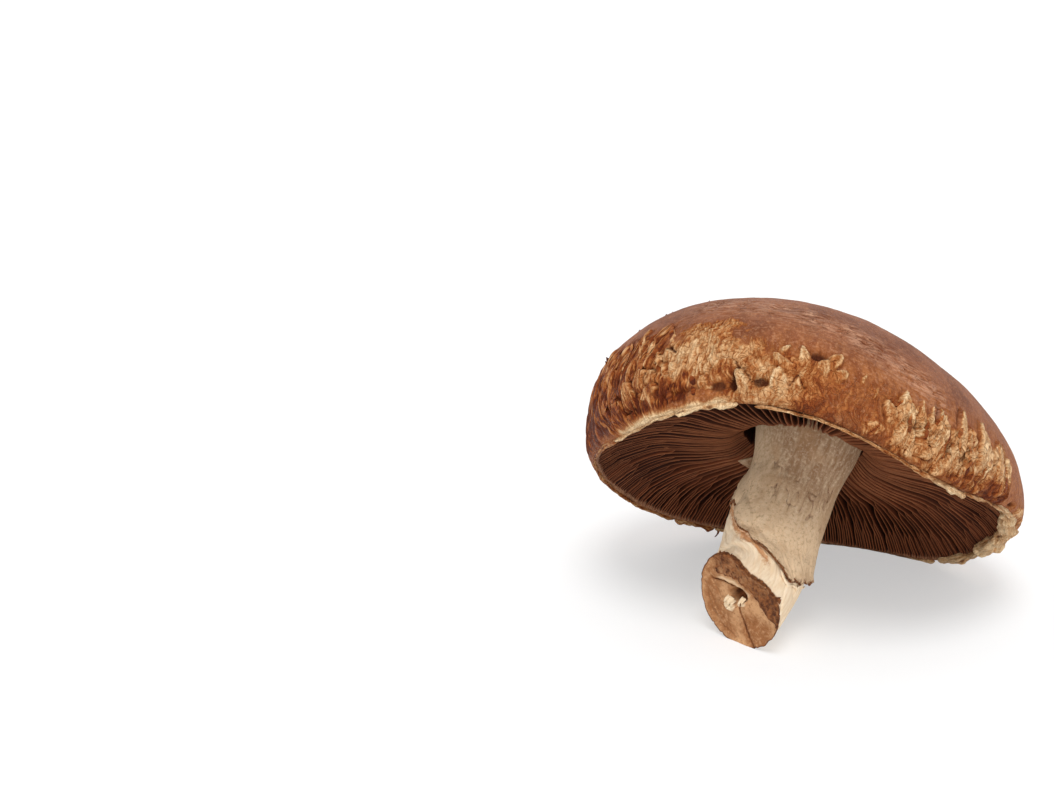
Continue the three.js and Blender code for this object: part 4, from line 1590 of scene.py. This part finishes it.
# %% The ring
RING_COLUMNS = 420
RING_ROWS = 30
RING_LENGTH = 12.0
RING_THICKNESS = 0.32
# Where the edge flares most: the angle and the width in degrees.
FLARE = (186, 22)


def ring_ragged(psi):
    """How far the ring's torn edge is from its smooth line, in mm."""
    return 0.8 * stem_noise(psi, 0 * psi, 1.4, 1, 221, 4)


def ring_stand(psi, along):
    """How far the ring stands off the stem: along runs from 0 at its upper end to 1 at its edge."""
    flare = bell(np.degrees(psi) - FLARE[0], FLARE[1])
    return lerp(-0.35, 0.45, ease(0, 0.7, along)) + (0.5 + 1.1 * flare) * along**5


def there_and_back(rows):
    """Rows down the outside of the sheet and back up its inside."""
    return np.concatenate([rows, rows[::-1]])


def make_ring():
    """The thin sheath that ends in a torn edge."""
    psi = np.arange(RING_COLUMNS) / RING_COLUMNS * TAU
    edge = ring_edge_share(psi) + ring_ragged(psi) / STEM_LENGTH
    along = np.linspace(0, 1, RING_ROWS)[:, None]
    share = edge - (1 - along) * RING_LENGTH / STEM_LENGTH
    psis = np.broadcast_to(psi, share.shape)
    height, dash = stem_relief(psis, share)
    stand = ring_stand(psis, along)
    stand = stand + 0.3 * stem_noise(psis, share, 2.2, 3, 222) * along**3
    outer = beside_stem(share, psis, height + stand)
    inner = beside_stem(share, psis, height + stand - RING_THICKNESS)
    sheet = np.concatenate([outer, inner[::-1]])
    points = on_the_table(sheet.reshape(-1, 3))
    brown = ease(0.90, 0.99, along + 0.05 * stem_noise(psis, share, 0.8, 1.5, 223))
    brown = 0.5 * there_and_back(brown)
    both, both_psi = there_and_back(share), there_and_back(psis)
    stored = {
        "down": (both - ring_edge_share(both_psi) + DOWN_AT_EDGE - 2 * EDGE_BLEND).ravel(),
        "stain": (0.5 * brown).ravel(),
        "dark": np.maximum(0.50 * there_and_back(dash), brown).ravel(),
        "stem_place": round_stem(both_psi, both, 1, 1).reshape(-1, 3),
    }
    stored |= {name: np.zeros(both.size) for name in ("face", "pale")}
    faces = grid_faces(len(sheet), RING_COLUMNS, True, True)[:, ::-1]
    make_piece("ring", points, faces, stored, pale_stem, ["ring"])


make_ring()

# %% [markdown]
# ## Shreds on the stem
#
# The ring's torn edge has dried to a thin brown cord, with a paler fold under it at the right. A
# triangular rag of veil sticks out at the left of the stem. At the cut, torn fibres stand round the
# pit, and the bark curls back in a few places.

# %% Tubes beside the stem
def stem_shred(grid, random, **given):
    """A shred of the stem with its marks, and with places for the fine noise of its own."""
    rows, around = grid.shape[:2]
    shift = random.uniform(0, 90)
    row, turn = np.meshgrid(np.arange(rows) * 0.5, np.arange(around) * 0.3, indexing="ij")
    marks = {"down": 0.9, "stain": 0.0, "face": 0.0, "dark": 0.0, "pale": 0.0}
    return grid, marks | given | {"stem_place": triples(turn + shift, 0, row)}


def cord_below_ring(start, stop, below, stand, size, seed):
    """A ragged cord along the ring's edge, between two angles, so many mm below it."""
    psi = np.radians(np.arange(start, stop, 1.2))
    share = ring_edge_share(psi) + (ring_ragged(psi) + below) / STEM_LENGTH
    ragged = stem_noise(psi, share, 1.0, 1, seed, 4)
    centres = beside_stem(share, psi, ring_stand(psi, 1.0) + stand + 0.25 * ragged)
    out = unit(centres - beside_stem(share, psi, -3.0))
    side = unit(np.cross(out, unit(np.gradient(centres, axis=0))))
    taper = np.minimum(1, np.minimum(np.arange(len(psi)), np.arange(len(psi))[::-1]) / 6 + 0.1)
    half = size * (1 + 0.8 * ragged) * taper
    return tube(centres, side, out, np.maximum(half, 0.05), 0.7 * size * taper)


def leaf_tube(start, end, out, half, thin, bend):
    """A thin leaf from one point to another, `half` wide at its foot and pointed at its tip."""
    steps = np.linspace(0, 1, 9)
    centres = lerp(start, end, steps[:, None]) + (bend * np.sin(math.pi * steps))[:, None] * out
    ahead = unit(end - start)
    side = unit(np.cross(out, ahead))
    width = half * (1 - steps) ** 0.8 + 0.04
    return tube(centres, side + 0 * centres, np.cross(ahead, side) + 0 * centres, width, thin + 0 * steps)


def face_point(x, y, out):
    """A point over the cut face, `out` mm off it. x and y are shares of the stem's radius."""
    psi = np.array([math.atan2(y, x)])
    reach = np.array([math.hypot(x, y) * line_radii[-1]])
    return beside_stem(np.ones(1), psi, 0.0, reach, np.array([-out]))[0]


# %% The shreds of the stem
# Cords on the ring's edge: from and to angles, mm below it, mm off it, size, seed, and their marks.
CORDS = [
    (-60, 300, 0.0, -0.15, 0.40, 231, {"dark": 0.68, "stain": 0.9}),
    (196, 262, 1.1, -0.55, 0.34, 232, {"down": 0.8, "stain": 0.15}),
    (298, 352, 0.7, -0.35, 0.42, 233, {"down": 0.8, "stain": 0.75}),
]

# Torn fibres: from and to in shares of the radius, half width and lift in mm.
FIBRES = [
    ((0.14, 0.18), (0.02, 0.36), 0.70, 0.7), ((0.18, 0.22), (0.16, 0.38), 0.50, 0.6),
    ((0.06, 0.16), (-0.06, 0.30), 0.60, 0.8), ((0.10, 0.26), (0.04, 0.42), 0.50, 0.9),
    ((-0.02, -0.10), (-0.10, 0.08), 0.50, 0.8), ((-0.06, -0.12), (-0.14, 0.0), 0.40, 0.5),
]

# Curls of bark: angle round the cut, mm up the stem and off it at the tip, half width.
CURLS = [
    (244, 1.7, 1.5, 0.8), (235, 2.6, 0.6, 1.2), (252, 0.9, 0.3, 0.6), (226, 0.9, 0.4, 0.6),
    (346, 0.8, 0.7, 0.35), (337, 1.0, 0.4, 0.3), (327, 0.9, 0.5, 0.3),
]

# The rag of veil: mm down the stem, angle round it, and how far off it the tip is, in mm.
RAG_DOWN = 18.5
RAG_ANGLE = 14.0
RAG_REACH = 3.7


def make_stem_shreds():
    """The cords along the ring's edge, torn fibres, curls of bark and the rag of veil."""
    random = np.random.default_rng(31)
    tubes = []
    for *line, marks in CORDS:
        tubes.append(stem_shred(cord_below_ring(*line), random, **marks))
    for (ax, ay), (bx, by), half, lift in FIBRES:
        start, end = face_point(ax, ay, -0.5), face_point(bx, by, 0.3)
        grid = leaf_tube(start, end, CUT_FACING, half, 0.3, lift)
        for axis in range(3):
            grid[..., axis] += 0.3 * rough_noise(grid / 0.9, 234 + 5 * axis)
        tubes.append(stem_shred(grid, random, face=1.0, pale=0.62))
    for angle, up_stem, off, half in CURLS:
        psi = np.radians(np.array([angle + random.uniform(-3, 3)]))
        one = np.ones(1)
        start = beside_stem(one, psi, -0.3, line_radii[-1] * flat_side(psi, one))[0]
        share = one - up_stem / STEM_LENGTH
        end = beside_stem(share, psi, off, read_line(line_radii, share) * flat_side(psi, share))[0]
        outward = unit(start - face_point(0.0, 0.0, 0.0))
        grid = leaf_tube(start, end, outward, half, 0.14, 0.35)
        tubes.append(stem_shred(grid, random, face=1.0, dark=0.75))
    rag, rag_side = np.array([RAG_DOWN / STEM_LENGTH]), np.radians(np.array([RAG_ANGLE]))
    start, end = beside_stem(rag, rag_side, -1.0)[0], beside_stem(rag * 1.04, rag_side, RAG_REACH)[0]
    grid = leaf_tube(start, end, np.array([0.0, -1.0, 0.0]), 2.1, 0.14, 0.3)
    tubes.append(stem_shred(grid, random, down=0.1, dark=0.25))
    join_tubes("stem_shreds", tubes, pale_stem)


make_stem_shreds()

# %% [markdown]
# ## Floor, light and camera
#
# The mushroom lies on a plain white floor in even studio light: a bright sky all round, a broad lamp
# overhead and a weaker one in front. The background itself is white to the camera, also when it is
# seen in something shiny or clear.

# %% Floor and world
FLOOR_HALF = 6.0
# How much whiter the camera sees the floor than it is lit, which keeps the shadow light.
SHADOW_LIFT = 0.45
SKY_STRENGTH = 0.78


def seen_background(tree):
    """1 for the rays that show the background: straight, mirrored or through something clear."""
    light = tree.nodes.new("ShaderNodeLightPath")
    kinds = ("Camera", "Glossy", "Transmission")
    return largest(*(Wire(tree, light.outputs[f"Is {kind} Ray"]) for kind in kinds))


def make_floor():
    material, tree, surface = new_material("plain_floor")
    surface.inputs["Base Color"].default_value = paint(250, 250, 250)
    surface.inputs["Roughness"].default_value = 0.9
    surface.inputs["Specular IOR Level"].default_value = 0.0
    whiter = seen_background(tree) * SHADOW_LIFT
    white = add(tree, "Emission", Color=(1, 1, 1, 1), Strength=1.0)
    seen = add(tree, "MixShader", i0=whiter, i1=Wire(tree, surface.outputs[0]), i2=white)
    output = next(node for node in tree.nodes if node.type == "OUTPUT_MATERIAL")
    feed(tree, output.inputs[0], seen)
    corners = [(x * FLOOR_HALF, y * FLOOR_HALF, 0) for x, y in ((-1, -1), (1, -1), (1, 1), (-1, 1))]
    mesh = bpy.data.meshes.new("floor")
    mesh.from_pydata(corners, [], [(0, 1, 2, 3)])
    mesh.materials.append(material)
    floor = bpy.data.objects.new("floor", mesh)
    bpy.context.scene.collection.objects.link(floor)


def make_world():
    world = bpy.data.worlds.new("studio")
    world.use_nodes = True
    tree = world.node_tree
    tree.nodes.clear()
    sky = add(tree, "Background", Color=(1, 1, 1, 1), Strength=SKY_STRENGTH)
    seen = add(tree, "Background", Color=(1, 1, 1, 1), Strength=1.0)
    both = add(tree, "MixShader", i0=seen_background(tree), i1=sky, i2=seen)
    feed(tree, tree.nodes.new("ShaderNodeOutputWorld").inputs[0], both)
    bpy.context.scene.world = world


make_floor()
make_world()

# %% Lamps
def add_sun(name, towards, strength, softness):
    """A far, broad light that shines the same on the whole floor. softness is its width in degrees."""
    lamp = bpy.data.lights.new(name, "SUN")
    lamp.energy = strength
    lamp.angle = math.radians(softness)
    holder = bpy.data.objects.new(name, lamp)
    holder.rotation_mode = "QUATERNION"
    holder.rotation_quaternion = Vector(towards).to_track_quat("-Z", "Y")
    bpy.context.scene.collection.objects.link(holder)


add_sun("key", (0.05, 0.45, -1.0), 1.5, 28)
add_sun("front", (-0.02, 1.0, -0.14), 0.85, 50)

# %% Camera
VIEW_ELEVATION = 18
VIEW_DISTANCE = 0.6
AIM = Vector((-0.07054, 0.00205, 0.05331))
LENS = 81.16
SENSOR_WIDTH = 36

camera = bpy.data.cameras.new("camera")
camera.lens = LENS
camera.sensor_width = SENSOR_WIDTH
camera.clip_start = 0.01
camera.clip_end = 30
viewer = bpy.data.objects.new("camera", camera)
rise = math.radians(VIEW_ELEVATION)
viewer.location = AIM + VIEW_DISTANCE * Vector((0, -math.cos(rise), math.sin(rise)))
viewer.rotation_euler = (math.pi / 2 - rise, 0, 0)
bpy.context.scene.collection.objects.link(viewer)
bpy.context.scene.camera = viewer
bpy.context.scene.view_settings.view_transform = "Standard"
